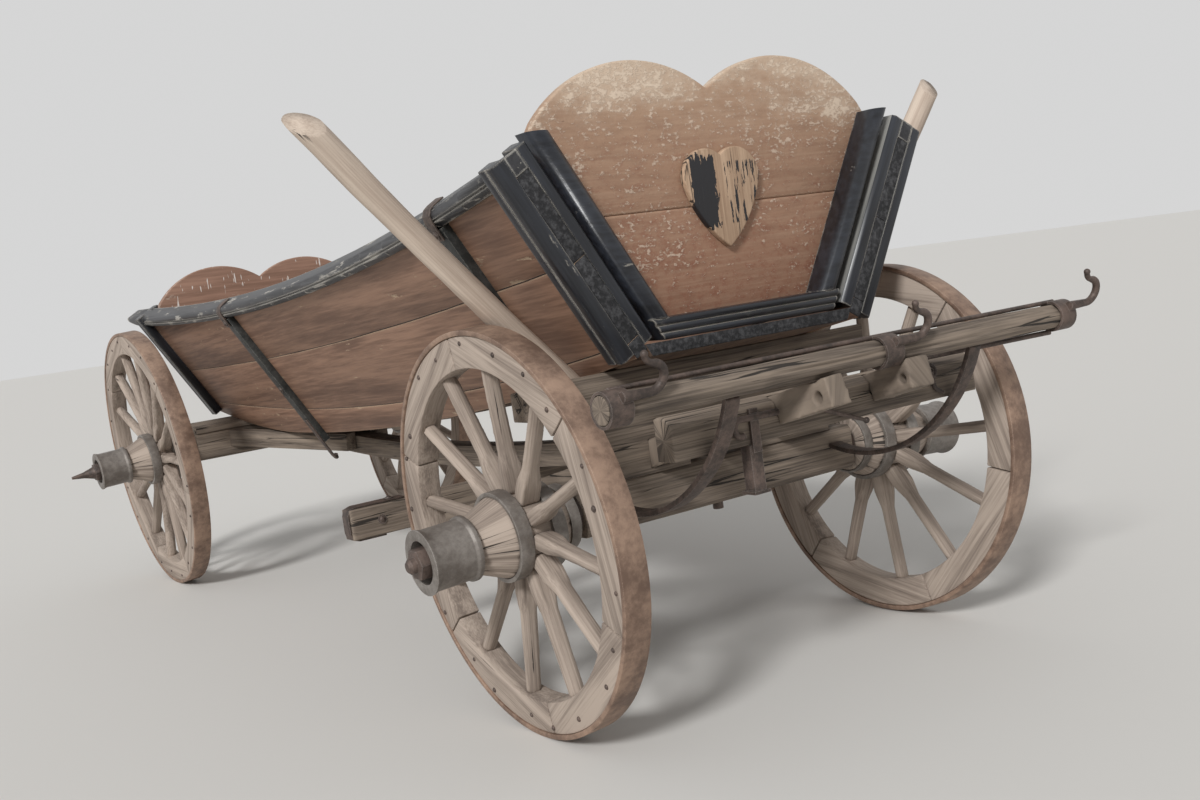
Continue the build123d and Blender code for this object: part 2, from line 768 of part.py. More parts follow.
save(reach_pole.part, "reach_pole")

# rear hounds: two bars from the rear axle forward to the sides of the reach pole
rear_hounds = [
    timber(
        (
            side * REAR_HOUND_HALF,
            REAR_Y + AXLE_WIDTH / 2 + REAR_HOUND_PAST,
            reach_rear[1] - REAR_HOUND_DROPS[0],
        ),
        (
            side * (REACH_WIDTH + REAR_HOUND_WIDTH) / 2,
            REAR_Y - REAR_HOUND_LENGTH,
            reach_rear[1] - REAR_HOUND_DROPS[1],
        ),
        REAR_HOUND_WIDTH,
        REACH_HEIGHT,
    )
    for side in (1, -1)
]
with BuildPart() as hounds:
    add(rear_hounds)
    add(reach_pole.part, mode=Mode.SUBTRACT)
    add(floor.part, mode=Mode.SUBTRACT)
save(hounds.part, "rear_hounds")

# rear axle and bolster, the reach pole and hounds let in between them
with BuildPart() as rear_axle:
    add(axle(REAR_RADIUS, REAR_Y, REAR_POINT))
    add(reach_pole.part, mode=Mode.SUBTRACT)
    add(hounds.part, mode=Mode.SUBTRACT)
save(rear_axle.part, "rear_axle")
with BuildPart() as rear_bolster:
    add(bolster(REAR_Y, REAR_TOP, REAR_BOLSTER_HALF))
    add(reach_pole.part, mode=Mode.SUBTRACT)
    add(hounds.part, mode=Mode.SUBTRACT)
save(rear_bolster.part, "rear_bolster")

# Loose stakes standing in the ends of the front bolster.  Each leans out over the inner
# edge of a front wheel's top and clears it.
front_right = wheel_plane(FRONT_RADIUS, FRONT_Y, 1)
wheel_top = front_right.from_local_coords(Vector(0, FRONT_RADIUS, -TYRE_WIDTH / 2))
stake_z = BOLSTER_Z + STAKE_FOOT
stake_x = half_width(stake_z, STAKE_OUT * cos(radians(FLARE)))
rise, out = wheel_top.Z - stake_z, wheel_top.X - stake_x
tilt = atan2(out, rise) - asin((STAKE_RADIUS + STAKE_CLEAR) / hypot(out, rise))
stake_plane = Plane(
    origin=(stake_x, FRONT_Y, stake_z), x_dir=(0, 1, 0), z_dir=(sin(tilt), 0, cos(tilt))
)
with BuildPart() as stake_right:
    with BuildSketch(stake_plane):
        Circle(STAKE_RADIUS)
    extrude(amount=STAKE_LENGTH)
save(stake_right.part, "stake_right")
save(mirrored(stake_right.part), "stake_left")

# front bolster under the box, bored for the stakes and for the head of the king pin
with BuildPart() as stake_hole:
    with BuildSketch(stake_plane):
        Circle(STAKE_RADIUS + HOOP_FIT)
    extrude(amount=STAKE_LENGTH)
with BuildPart() as front_bolster:
    add(bolster(FRONT_Y, BOLSTER_Z, BOLSTER_HALF))
    add(stake_hole.part, mode=Mode.SUBTRACT)
    add(mirrored(stake_hole.part), mode=Mode.SUBTRACT)
    with BuildSketch(PIN_PLANE.offset(BOLSTER_Z)):
        Circle(PIN_RADIUS)
    extrude(amount=BOLSTER_HALF, mode=Mode.SUBTRACT)
    with BuildSketch(PIN_PLANE.offset(BOLSTER_Z + PIN_SEAT)):
        Circle(PIN_HEAD_RADIUS)
    extrude(amount=BOLSTER_HALF, mode=Mode.SUBTRACT)
save(front_bolster.part, "front_bolster")

# king pin, through the bolster, the turning bolster, the reach pole and the front axle
with BuildPart() as king_pin:
    with BuildSketch(PIN_PLANE.offset(FRONT_TOP - AXLE_HEIGHT - PIN_BELOW)):
        Circle(PIN_RADIUS)
    extrude(amount=AXLE_HEIGHT + PIN_BELOW + BOLSTER_Z - FRONT_TOP + PIN_SEAT)
    with BuildSketch(PIN_PLANE.offset(BOLSTER_Z + PIN_SEAT)):
        Circle(PIN_HEAD_RADIUS)
    extrude(amount=PIN_HEAD)
save(king_pin.part, "king_pin")

# turntable plates on the meeting faces of the two bolsters
for name, low_z, hole in (
    ("upper_turn_plate", BOLSTER_Z - PLATE_THICK, PIN_RADIUS),
    ("lower_turn_plate", TURN_TOP, PIN_RADIUS + PIN_PLAY),
):
    with BuildPart() as plate:
        with BuildSketch(PIN_PLANE.offset(low_z)):
            SlotOverall(2 * PLATE_HALF, PLATE_WIDTH)
            Circle(hole, mode=Mode.SUBTRACT)
        extrude(amount=PLATE_THICK)
    save(plate.part, name)

# front gear: everything below turns about the king pin with the front axle
FUTCHEL_Z = FRONT_TOP + FUTCHEL_HEIGHT / 2


def futchel_at(back, side=1):
    """Middle of a futchel at a distance back from the front axle."""
    return (
        side * (FUTCHEL_HALF + FUTCHEL_SPREAD * back),
        FRONT_Y + back,
        FUTCHEL_Z - FUTCHEL_RISE * back,
    )


# splinter bar: a round log lying let into the front ends of the futchels
log_y = FRONT_Y - LOG_AHEAD
log_over = (FUTCHEL_HEIGHT / 2 + LOG_RADIUS) * sqrt(1 + FUTCHEL_RISE**2) - LOG_LET_IN
log_z = futchel_at(-LOG_AHEAD)[2] + log_over
with BuildPart() as splinter_bar:
    with BuildSketch(Plane.YZ.offset(-LOG_HALF)):
        with Locations((log_y, log_z)):
            Circle(LOG_RADIUS)
    extrude(amount=2 * LOG_HALF)
save(splinter_bar.part, "splinter_bar")

# cross beam, halved with the futchels where they meet
cross_y = FRONT_Y - CROSS_AHEAD
cross_low = futchel_at(-CROSS_AHEAD)[2] - FUTCHEL_HEIGHT / 2 - CROSS_DROP
halving = Plane.XY.offset(cross_low + CROSS_HEIGHT / 2)
with BuildPart() as bars:
    for side in (1, -1):
        ends = (futchel_at(FUTCHEL_BEHIND, side), futchel_at(-FUTCHEL_AHEAD, side))
        add(timber(*ends, FUTCHEL_WIDTH, FUTCHEL_HEIGHT))
with BuildPart() as bars_above:
    add(bars.part)
    split(bisect_by=halving, keep=Keep.TOP)
with BuildPart() as cross_beam:
    add(block(2 * CROSS_HALF, CROSS_WIDTH, cross_low, cross_low + CROSS_HEIGHT, cross_y))
    top_edges = cross_beam.faces().sort_by(Axis.Z)[-1].edges().filter_by(Axis.X)
    chamfer(top_edges.sort_by(Axis.Y)[0], *CROSS_BEVEL)
    add(bars_above.part, mode=Mode.SUBTRACT)
save(cross_beam.part, "cross_beam")
with BuildPart() as futchels:
    add(bars.part)
    add(cross_beam.part, mode=Mode.SUBTRACT)
    with BuildSketch(Plane.YZ.offset(-LOG_HALF)):
        with Locations((log_y, log_z)):
            Circle(LOG_RADIUS + HOOP_FIT)
        pin_at = futchel_at(-TONGUE_PIN_AHEAD)
        with Locations((pin_at[1], pin_at[2] - TONGUE_PIN_DROP)):
            Circle(TONGUE_PIN_RADIUS)
    extrude(amount=2 * LOG_HALF, mode=Mode.SUBTRACT)
save(futchels.part, "futchels")

# front axle and turning bolster, the futchels let in between them
with BuildPart() as front_axle:
    add(axle(FRONT_RADIUS, FRONT_Y, FRONT_POINT))
    add(futchels.part, mode=Mode.SUBTRACT)
    with BuildSketch(PIN_PLANE):
        Circle(PIN_RADIUS + PIN_PLAY)
    extrude(amount=FRONT_RADIUS + AXLE_HEIGHT, mode=Mode.SUBTRACT)
save(front_axle.part, "front_axle")
with BuildPart() as turning_bolster:
    add(block(2 * TURN_HALF, AXLE_WIDTH, FRONT_TOP, TURN_TOP, FRONT_Y))
    add(block(2 * REACH_SLOT_HALF, 2 * AXLE_WIDTH, FRONT_TOP, SLOT_TOP, FRONT_Y), mode=Mode.SUBTRACT)
    add(futchels.part, mode=Mode.SUBTRACT)
    with BuildSketch(PIN_PLANE.offset(FRONT_TOP)):
        Circle(PIN_RADIUS + PIN_PLAY)
    extrude(amount=TURN_HEIGHT, mode=Mode.SUBTRACT)
save(turning_bolster.part, "turning_bolster")

# sway bar across the rear ends of the futchels, close under the reach pole
sway_y = FRONT_Y + SWAY_BEHIND
with BuildPart() as sway_bar:
    sway_top = reach_pole_underside(sway_y) - SWAY_CLEAR
    add(block(2 * SWAY_HALF, SWAY_WIDTH, sway_top - SWAY_HEIGHT, sway_top, sway_y))
    add(futchels.part, mode=Mode.SUBTRACT)
save(sway_bar.part, "sway_bar")


def bent_bar(face, rows, knob=0):
    """Round bar bent within a plane, leaving the plane's origin along its x direction.

    Each row is a straight stretch and the bend after it: its length, the bar's radius at its
    start and at its end, the radius of the bend and the degrees that it turns to the left.
    """
    at, heading = Vector(0, 0), 0
    with BuildPart() as bar:
        for length, wide, narrow, bend, turn in rows:
            along = Vector(cos(radians(heading)), sin(radians(heading)))
            ahead = face.x_dir * along.X + face.y_dir * along.Y
            with BuildSketch(Plane(origin=face.from_local_coords(at), x_dir=face.z_dir, z_dir=ahead)):
                Circle(wide)
            extrude(amount=length, taper=degrees(atan2(wide - narrow, length)))
            at += along * length
            if turn:
                hand = 1 if turn > 0 else -1
                middle = at + Vector(-along.Y, along.X) * bend * hand
                with BuildSketch(Plane(origin=face.from_local_coords(at), x_dir=face.z_dir, z_dir=ahead)):
                    Circle(narrow)
                about = Axis(face.from_local_coords(middle), face.z_dir * hand)
                revolve(axis=about, revolution_arc=abs(turn))
                at = middle + (at - middle).rotate(Axis.Z, turn)
                heading += turn
        if knob:
            with Locations(face.from_local_coords(at)):
                Sphere(knob)
    return bar.part


# Irons of the splinter bar: a band round the log for each hook, whose bar runs along the
# log, curls up and back and flares out to a knob, and a rod on top from band to band.
on_log = LOG_RADIUS + HOOP_FIT
seat = radians(HOOK_SEAT)
bar_ahead = (on_log + HOOK_BAR[0]) * sin(seat)
turned = radians(HOOK_TURN)
flared = turned - radians(HOOK_FLARE_TURN)
hook_tall = (
    HOOK_BEND * (1 - cos(turned)) + HOOK_NECK * sin(turned) + HOOK_FLARE * (cos(flared) - cos(turned))
)
hook_lean = asin((HOOK_REACH - bar_ahead - HOOK_KNOB) / hook_tall)
with BuildPart() as splinter_irons:
    for x in HOOK_X:
        with BuildSketch(Plane.YZ.offset(x - HOOK_BAND_WIDTH / 2)):
            with Locations((log_y, log_z)):
                Circle(on_log + HOOK_BAND_THICK)
                Circle(on_log, mode=Mode.SUBTRACT)
        extrude(amount=HOOK_BAND_WIDTH)
        face = Plane(
            origin=(x, log_y - bar_ahead, log_z + (on_log + HOOK_BAR[0]) * cos(seat)),
            x_dir=(1, 0, 0),
            z_dir=(0, -cos(hook_lean), -sin(hook_lean)),
        )
        rows = (
            (HOOK_SHANK, HOOK_BAR[0], HOOK_BAR[1], HOOK_BEND, HOOK_TURN),
            (HOOK_NECK, HOOK_BAR[1], HOOK_BAR[2], HOOK_FLARE, -HOOK_FLARE_TURN),
        )
        add(bent_bar(face, rows, HOOK_KNOB))
    behind = radians(LOG_ROD_BEHIND)
    rod_y = log_y + (on_log + LOG_ROD) * sin(behind)
    rod_z = log_z + (on_log + LOG_ROD) * cos(behind)
    rod_from = Plane(origin=(HOOK_X[0], rod_y, rod_z), x_dir=(1, 0, 0), z_dir=(0, 0, 1))
    add(bent_bar(rod_from, ((HOOK_X[2] - HOOK_X[0], LOG_ROD, LOG_ROD, 0, 0),)))
save(splinter_irons.part, "splinter_irons")

# curved flat braces from under the splinter bar, below the cross beam, to the front axle
back = radians(BRACE_BACK)
brace_reach = LOG_RADIUS + BRACE_THICK / 2 + SEAT_GAP
cross_front = cross_y - CROSS_WIDTH / 2
for side, hand in ((1, "right"), (-1, "left")):
    with BuildPart() as brace:
        with BuildSketch(Plane.YZ.offset(side * BRACE_X - BRACE_WIDTH / 2)):
            with BuildLine():
                ThreePointArc(
                    (log_y + brace_reach * sin(back), log_z - brace_reach * cos(back)),
                    (cross_front + BRACE_SWELL[0], cross_low - BRACE_SWELL[1]),
                    (FRONT_Y - (AXLE_WIDTH + BRACE_THICK) / 2 - SEAT_GAP, FRONT_TOP - BRACE_DROP),
                )
                offset(amount=BRACE_THICK / 2, side=Side.BOTH, closed=True)
            make_face()
        extrude(amount=BRACE_WIDTH)
    save(brace.part, f"front_brace_{hand}")

beam_top = cross_low + CROSS_HEIGHT
hanging = (Align.CENTER, Align.CENTER, Align.MAX)


def on_beam(x, drop, stand=0, heading=0):
    """Plane along the cross beam's front face, its x direction turned up by a heading."""
    return Plane(
        origin=(x, cross_front - SEAT_GAP - stand, beam_top - drop),
        x_dir=(cos(radians(heading)), 0, sin(radians(heading))),
        z_dir=(0, -1, 0),
    )


# Small irons of the cross beam: on its front face a rosette with a curled tail, a strap with
# a block hanging below it, a bar with a curled end and a thin rod, and on its top a stay that
# runs out to the splinter bar.
with BuildPart() as gear_irons:
    with BuildSketch(on_beam(0, 0)):
        with Locations((ROSETTE_X, -ROSETTE_DROP)):
            Circle(ROSETTE_RADIUS)
        with Locations((HANGER_X, -CROSS_BEVEL[0])):
            Rectangle(HANGER_WIDTH, CROSS_HEIGHT, align=(Align.CENTER, Align.MAX))
    extrude(amount=IRON_THICK)
    with Locations((HANGER_X, cross_front - SEAT_GAP + BLOCK_ACROSS / 2, cross_low - SEAT_GAP)):
        Box(BLOCK_ACROSS, BLOCK_ACROSS, BLOCK_LENGTH, align=hanging)
    with Locations((HANGER_X, cross_front - SEAT_GAP + BLOCK_ACROSS / 2, cross_low - BLOCK_LENGTH)):
        Box(BLOCK_FOOT, BLOCK_FOOT, IRON_THICK, align=hanging)
    for start, rows, knob in (
        ((ROSETTE_X, ROSETTE_DROP, TAIL_ROWS[0][1], TAIL_HEADING), TAIL_ROWS, 0),
        ((CURL_X, CURL_DROP, CURL_ROWS[0][1], 180), CURL_ROWS, 0),
        ((ROD_X, CURL_DROP, ROD_ROWS[0][1], ROD_HEADING), ROD_ROWS, ROD_KNOB),
    ):
        add(bent_bar(on_beam(*start), rows, knob))
    stay_from = Vector(STAY_X[0], cross_y, beam_top + STAY_RADIUS + SEAT_GAP)
    stay_to = Vector(STAY_X[1], log_y, log_z - on_log - STAY_RADIUS)
    stay = stay_to - stay_from
    stay_plane = Plane(origin=stay_from, x_dir=stay, z_dir=stay.cross(Vector(0, 1, 0)))
    add(bent_bar(stay_plane, ((stay.length, STAY_RADIUS, STAY_RADIUS, 0, 0),)))
save(gear_irons.part, "gear_irons")
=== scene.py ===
"""Farm hay wagon: the worn surfaces, the rounded edges and the small irons of the real one.

The script takes the pieces in the order in which the wagon is put together: the timbers,
irons and axles of the running gear, the wheels, the plank box with its floor, end boards,
mouldings and stanchions, and the two loose stakes.  Lengths are in metres, angles whose
names say so in degrees, and colours in 0 to 255.
"""
import json
from math import cos, radians, sin

import bpy
import numpy as np
from mathutils import Matrix, Vector
from mathutils.noise import fractal, noise as soft_noise


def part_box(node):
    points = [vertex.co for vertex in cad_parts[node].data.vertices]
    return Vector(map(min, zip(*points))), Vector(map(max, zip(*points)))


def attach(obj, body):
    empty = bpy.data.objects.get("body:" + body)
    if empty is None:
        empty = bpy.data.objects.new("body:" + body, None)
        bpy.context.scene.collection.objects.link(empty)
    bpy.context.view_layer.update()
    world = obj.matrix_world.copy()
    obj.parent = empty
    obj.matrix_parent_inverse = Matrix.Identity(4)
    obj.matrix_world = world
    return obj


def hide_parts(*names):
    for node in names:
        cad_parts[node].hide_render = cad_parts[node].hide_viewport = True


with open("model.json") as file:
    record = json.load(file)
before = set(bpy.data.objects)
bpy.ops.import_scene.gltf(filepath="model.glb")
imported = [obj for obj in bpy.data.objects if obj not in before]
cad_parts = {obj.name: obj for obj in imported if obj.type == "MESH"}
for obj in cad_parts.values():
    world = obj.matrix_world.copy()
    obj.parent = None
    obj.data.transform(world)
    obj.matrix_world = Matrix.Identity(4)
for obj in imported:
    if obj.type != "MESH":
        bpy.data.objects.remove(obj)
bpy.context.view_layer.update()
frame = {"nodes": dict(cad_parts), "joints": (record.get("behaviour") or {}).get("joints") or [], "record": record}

# Gear timbers: bolsters, reach pole, hounds, futchels, sway bar, cross beam and splinter bar.
# They are squared hardwood, bolted to each other and never painted.  Rain and sun turned the
# wood grey-brown and cracked it along the grain, and use rounded its corners.  Their colours are
# also made darker with painted shade, for the shadow that the box casts over the gear.
GEAR_PALE_WITH_SHADE = (142, 128, 114)
GEAR_DARK_WITH_SHADE = (72, 63, 56)
GEAR_CRACKS = 0.8
CRACK_COLOUR = (24, 20, 18)
CRACK_WIDTH = 0.14
GEAR_ROUNDING = 0.004
WELD = 0.00001
FLAT_ANGLE = 0.6
SHARP_ANGLE = 28
SMOOTH_ANGLE = 38
ASKEW = (0.3, 0.5, 0.8)
NEXT_GRAIN = (1.7, 0.9, 0.4)

SOUND_TIMBERS = ("turning_bolster", "front_bolster", "rear_bolster", "reach_pole", "rear_hounds")
# node, size of its faces, depth of its hollows and of its splits, way of its grain, radius
SPLIT_TIMBERS = (
    ("futchels", 0.0055, 0.002, 0.003, (0, 1, 0), 0.04),
    ("cross_beam", 0.005, 0.0015, 0.003, (1, 0, 0), 0.045),
    ("sway_bar", 0.0055, 0.002, 0.004, (1, 0, 0), 0.045),
    ("splinter_bar", 0.0036, 0.003, 0.007, (1, 0, 0), 0.029),
)

body_of = {
    node: body
    for body, nodes in frame["record"]["behaviour"]["bodies"].items()
    for node in nodes
}


class Socket:
    """An output of a node; arithmetic on it adds Math nodes to its material."""

    def __init__(self, tree, output=None):
        self.tree = tree
        self.output = output

    def node(self, kind, settings=None, inputs=None, output=0):
        """Add a node, with its settings made first and then its sockets filled or linked."""
        made = self.tree.nodes.new("ShaderNode" + kind)
        for name, value in (settings or {}).items():
            setattr(made, name, value)
        for name, value in (inputs or {}).items():
            if isinstance(value, Socket):
                self.tree.links.new(value.output, made.inputs[name])
            else:
                made.inputs[name].default_value = value
        return Socket(self.tree, made.outputs[output] if made.outputs else None)

    def maths(self, operation, first, second):
        return self.node("Math", {"operation": operation}, {0: first, 1: second})

    def __add__(self, other):
        if self.output.type == "VECTOR":
            return self.node("VectorMath", {"operation": "ADD"}, {0: self, 1: other})
        return self.maths("ADD", self, other)

    def __radd__(self, other):
        return self.maths("ADD", other, self)

    def __sub__(self, other):
        return self.maths("SUBTRACT", self, other)

    def __rsub__(self, other):
        return self.maths("SUBTRACT", other, self)

    def __mul__(self, other):
        return self.maths("MULTIPLY", self, other)

    def __rmul__(self, other):
        return self.maths("MULTIPLY", other, self)

    def __abs__(self):
        return self.node("Math", {"operation": "ABSOLUTE"}, {0: self})


def shade(red, green, blue):
    """A colour given in 0 to 255 as on a paint chart, in the linear values that nodes take."""
    return tuple(((part / 255 + 0.055) / 1.055) ** 2.4 for part in (red, green, blue)) + (1.0,)


def new_material(name):
    """An empty material, as the ground that its nodes are put on."""
    material = bpy.data.materials.new(name)
    material.use_nodes = True
    material.node_tree.nodes.clear()
    return material, Socket(material.node_tree)


def wagon_place(ground):
    """The place in the wagon's own directions."""
    return ground.node("TexCoord", {}, {}, "Object")


def grain_place(ground):
    """The place in a timber's own directions, the first one along its grain."""
    return ground.node("Attribute", {"attribute_name": "grain"}, {}, "Vector")


def stretched(place, along, across, up):
    """The place with its three directions drawn out or pressed together."""
    return place.node("VectorMath", {"operation": "MULTIPLY"}, {0: place, 1: (along, across, up)})


def noise(place, scale, detail=3, roughness=0.55):
    """Uneven patches from 0 to 1, with finer ones in them."""
    inputs = {"Vector": place, "Scale": scale, "Detail": detail, "Roughness": roughness}
    return place.node("TexNoise", {}, inputs, "Fac")


def fade(value, start, end):
    """0 below start and 1 above end, with a soft step between them."""
    inputs = {"Value": value, "From Min": start, "From Max": end}
    return value.node("MapRange", {"interpolation_type": "SMOOTHSTEP"}, inputs, "Result")


def colours(factor, under, over):
    """One colour laid over another by a factor."""
    return factor.node("Mix", {"data_type": "RGBA"}, {0: factor, 6: under, 7: over}, 2)


def bare_wood(ground, pale, dark, cracks):
    """Colour, roughness and height of weathered wood, cracked from 0, little, to 1, much."""
    place = grain_place(ground)
    fibres = noise(stretched(place, 6, 260, 260), 1, 4, 0.6)
    bands = noise(stretched(place, 1.3, 42, 42), 1, 4)
    patches = noise(stretched(place, 3, 9, 9), 1, 4)
    inputs = {"Vector": stretched(place, 1.7, 44, 44) + fibres * 0.15, "Scale": 1.0}
    split = place.node("TexVoronoi", {"feature": "DISTANCE_TO_EDGE"}, inputs, "Distance")
    width = fade(noise(stretched(place, 3, 14, 14), 1, 3), 0.7 - 0.25 * cracks, 0.85 - 0.2 * cracks)
    crack = fade(width * 0.075 - split, 0.0, 0.03)
    tone = fade(fibres * 0.36 + bands * 0.36 + patches * 0.28, 0.36, 0.62)
    colour = colours(tone, shade(*dark), shade(*pale))
    colour = colours(crack * 0.9, colour, shade(*CRACK_COLOUR))
    height = fibres * 0.3 + bands * 0.25 - crack
    return colour, 0.75 + fibres * 0.15, height


def finish(ground, colour, roughness, height, depth=0.0015, metal=0.0):
    """The shader at the end of a material, with its relief that deep."""
    bump = ground.node("Bump", {}, {"Height": height, "Distance": depth, "Strength": 1.0})
    inputs = {"Base Color": colour, "Roughness": roughness, "Metallic": metal, "Normal": bump}
    surface = ground.node("BsdfPrincipled", {}, inputs)
    ground.node("OutputMaterial", {}, {"Surface": surface})


# the gear wood: weathered grey-brown, its colours made darker with painted shade
gear_wood, ground = new_material("gear_wood")
finish(ground, *bare_wood(ground, GEAR_PALE_WITH_SHADE, GEAR_DARK_WITH_SHADE, GEAR_CRACKS))


def pick(*objects):
    """Select these objects and nothing else, the last one active."""
    bpy.ops.object.select_all(action="DESELECT")
    for thing in objects:
        thing.select_set(True)
    bpy.context.view_layer.objects.active = objects[-1]


def copied(node):
    """A copy of one CAD piece with its loose triangles welded into whole faces."""
    mesh = frame["nodes"][node].data.copy()
    mesh.materials.clear()
    piece = bpy.data.objects.new(f"{node}_worn", mesh)
    bpy.context.scene.collection.objects.link(piece)
    pick(piece)
    bpy.ops.mesh.customdata_custom_splitnormals_clear()
    bpy.ops.object.mode_set(mode="EDIT")
    bpy.ops.mesh.select_all(action="SELECT")
    bpy.ops.mesh.remove_doubles(threshold=WELD)
    bpy.ops.mesh.dissolve_limited(angle_limit=radians(FLAT_ANGLE))
    bpy.ops.object.mode_set(mode="OBJECT")
    return piece


def rounded(piece, width, segments=2):
    """Round a piece's sharp edges."""
    pick(piece)
    bevel = piece.modifiers.new("rounding", "BEVEL")
    bevel.width = width
    bevel.segments = segments
    bevel.limit_method = "ANGLE"
    bevel.angle_limit = radians(SHARP_ANGLE)
    bpy.ops.object.modifier_apply(modifier=bevel.name)
    bpy.ops.object.shade_smooth_by_angle(angle=radians(SMOOTH_ANGLE))
    return piece


def separate_parts(mesh):
    """A number for each vertex that says which separate solid of the mesh it belongs to."""
    neighbours = [[] for vertex in mesh.vertices]
    for first, second in mesh.edge_keys:
        neighbours[first].append(second)
        neighbours[second].append(first)
    owner = [-1] * len(neighbours)
    for start in range(len(neighbours)):
        if owner[start] < 0:
            owner[start] = start
            reached = [start]
            while reached:
                for other in neighbours[reached.pop()]:
                    if owner[other] < 0:
                        owner[other] = start
                        reached.append(other)
    return np.array(owner)


def lay_grain(piece, along=None, turned=0):
    """Give each solid of a piece its own directions, the first one along its length.

    A turned piece takes the place on a cylinder of that radius, so that its cracks run in
    towards its heart.  No two solids of a piece show the same stretch of grain.
    """
    mesh = piece.data
    place = np.empty(len(mesh.vertices) * 3)
    mesh.vertices.foreach_get("co", place)
    place = place.reshape(-1, 3)
    owner = separate_parts(mesh)
    grain = np.zeros_like(place)
    for count, part in enumerate(np.unique(owner)):
        mine = owner == part
        middle = place[mine].mean(0)
        if along is None:
            directions = np.linalg.eigh(np.cov((place[mine] - middle).T))[1][:, ::-1]
        else:
            lead = np.array(Vector(along).normalized())
            side = np.cross(lead, ASKEW)
            side /= np.linalg.norm(side)
            directions = np.stack((lead, side, np.cross(lead, side)), 1)
        local = (place[mine] - middle) @ directions
        if turned:
            from_heart = np.maximum(np.linalg.norm(local[:, 1:], axis=1), 0.001)
            local[:, 1:] *= turned / from_heart[:, None]
        grain[mine] = local + np.multiply(NEXT_GRAIN, count)
    layer = mesh.attributes.new("grain", "FLOAT_VECTOR", "POINT")
    layer.data.foreach_set("vector", grain.ravel())


def weathered(node, voxel, hollow, split=0.0, along=None, turned=0):
    """A copy of an old timber, worn round, hollowed between its harder rings and split.

    Its surface only ever sinks: by up to the hollow's depth all over and by the split's
    depth in long cracks.  Where its grain's way is given, its sawn ends stay flat.
    """
    piece = copied(node)
    even = piece.modifiers.new("even_faces", "REMESH")
    even.mode = "VOXEL"
    even.voxel_size = voxel
    bpy.ops.object.modifier_apply(modifier=even.name)
    worn = piece.modifiers.new("worn_round", "SMOOTH")
    worn.iterations = 1
    bpy.ops.object.modifier_apply(modifier=worn.name)
    bpy.ops.object.shade_smooth()
    lay_grain(piece, along, turned)
    grain = piece.data.attributes["grain"].data
    outwards = [vertex.normal.copy() for vertex in piece.data.vertices]
    lead = Vector(along or (0, 0, 0)).normalized()
    for vertex, outward in zip(piece.data.vertices, outwards):
        lengthwise, across, through = grain[vertex.index].vector
        ripple = fractal(Vector((lengthwise * 4, across * 30, through * 30)), 1.0, 2.0, 3)
        crack = abs(soft_noise(Vector((lengthwise * 1.4, across * 24, through * 24))))
        where = soft_noise(Vector((lengthwise * 4, across * 9 + 7, through * 9)))
        sink = hollow * min(max(0.5 + ripple, 0), 1)
        if where > 0:
            sink += split * max(1 - crack / CRACK_WIDTH, 0) * min(where * 5, 1)
        vertex.co -= outward * sink * (1 - abs(outward.dot(lead)))
    softened = piece.modifiers.new("softened", "SMOOTH")
    softened.factor = 0.3
    bpy.ops.object.modifier_apply(modifier=softened.name)
    return piece


def hang(piece, node, material):
    """Let a finished piece stand for its CAD node and move with that node's body."""
    piece.data.materials.append(material)
    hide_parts(node)
    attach(piece, body_of[node])


for node in SOUND_TIMBERS:
    piece = rounded(copied(node), GEAR_ROUNDING)
    lay_grain(piece)
    hang(piece, node, gear_wood)
for node, voxel, hollow, split, along, turned in SPLIT_TIMBERS:
    hang(weathered(node, voxel, hollow, split, along, turned), node, gear_wood)

# Forged irons: king pin, turntable plates, the rod and trace hooks of the splinter bar, the
# braces and the irons of the cross beam.  They were hammered out of bar iron and bolted on,
# and are dark, with patches of brown rust, and rubbed bright along their edges.
IRON_ROUNDING = 0.001
FORGED_IRONS = (
    "king_pin", "upper_turn_plate", "lower_turn_plate", "splinter_irons", "gear_irons",
    "front_brace_left", "front_brace_right",
)


def corner(ground, radius):
    """How much a face bends away within a short distance: high along sharp edges."""
    bevel = ground.node("Bevel", {"samples": 4}, {"Radius": radius})
    face = ground.node("NewGeometry", {}, {}, "Normal")
    return 1 - bevel.node("VectorMath", {"operation": "DOT_PRODUCT"}, {0: bevel, 1: face}, "Value")


def iron(name, rust, dark, bright, fineness, roughness, metal):
    """Rusty iron with pits, rubbed bright along its edges."""
    material, ground = new_material(name)
    place = wagon_place(ground)
    patches = noise(place, 9 * fineness, 5, 0.6)
    pits = noise(place, 160 * fineness, 3, 0.6)
    streaks = noise(place, 45 * fineness, 4, 0.7)
    colour = colours(fade(patches * 0.6 + streaks * 0.4, 0.36, 0.66), shade(*dark), shade(*rust))
    rubbed = fade(corner(ground, 0.004) + streaks * 0.3, 0.24, 0.4)
    colour = colours(rubbed * 0.8, colour, shade(*bright))
    height = pits * 0.5 + streaks * 0.5
    finish(ground, colour, roughness + patches * 0.3, height, depth=0.0012, metal=metal)
    return material


forged_iron = iron(
    "forged_iron", rust=(112, 96, 88), dark=(66, 58, 54), bright=(150, 142, 136),
    fineness=2.0, roughness=0.4, metal=0.4,
)
for node in FORGED_IRONS:
    hang(rounded(copied(node), IRON_ROUNDING), node, forged_iron)

# Axles: squared beams with round iron arms let into their ends, each arm closed by a nut.
# The beam is like the other timbers, and the iron shows between the beam and the hub.
AXLE_ROUNDING = 0.002
BEAM_END = 0.4155


def second_material(piece, material, chosen):
    """Give another material to the faces that the choice picks by their middle and normal."""
    piece.data.materials.append(material)
    for face in piece.data.polygons:
        if chosen(face.center, face.normal):
            face.material_index = 1


for node in ("front_axle", "rear_axle"):
    piece = rounded(copied(node), AXLE_ROUNDING)
    lay_grain(piece, (1, 0, 0))
    hang(piece, node, gear_wood)
    second_material(piece, forged_iron, lambda middle, normal: abs(middle.x) > BEAM_END)

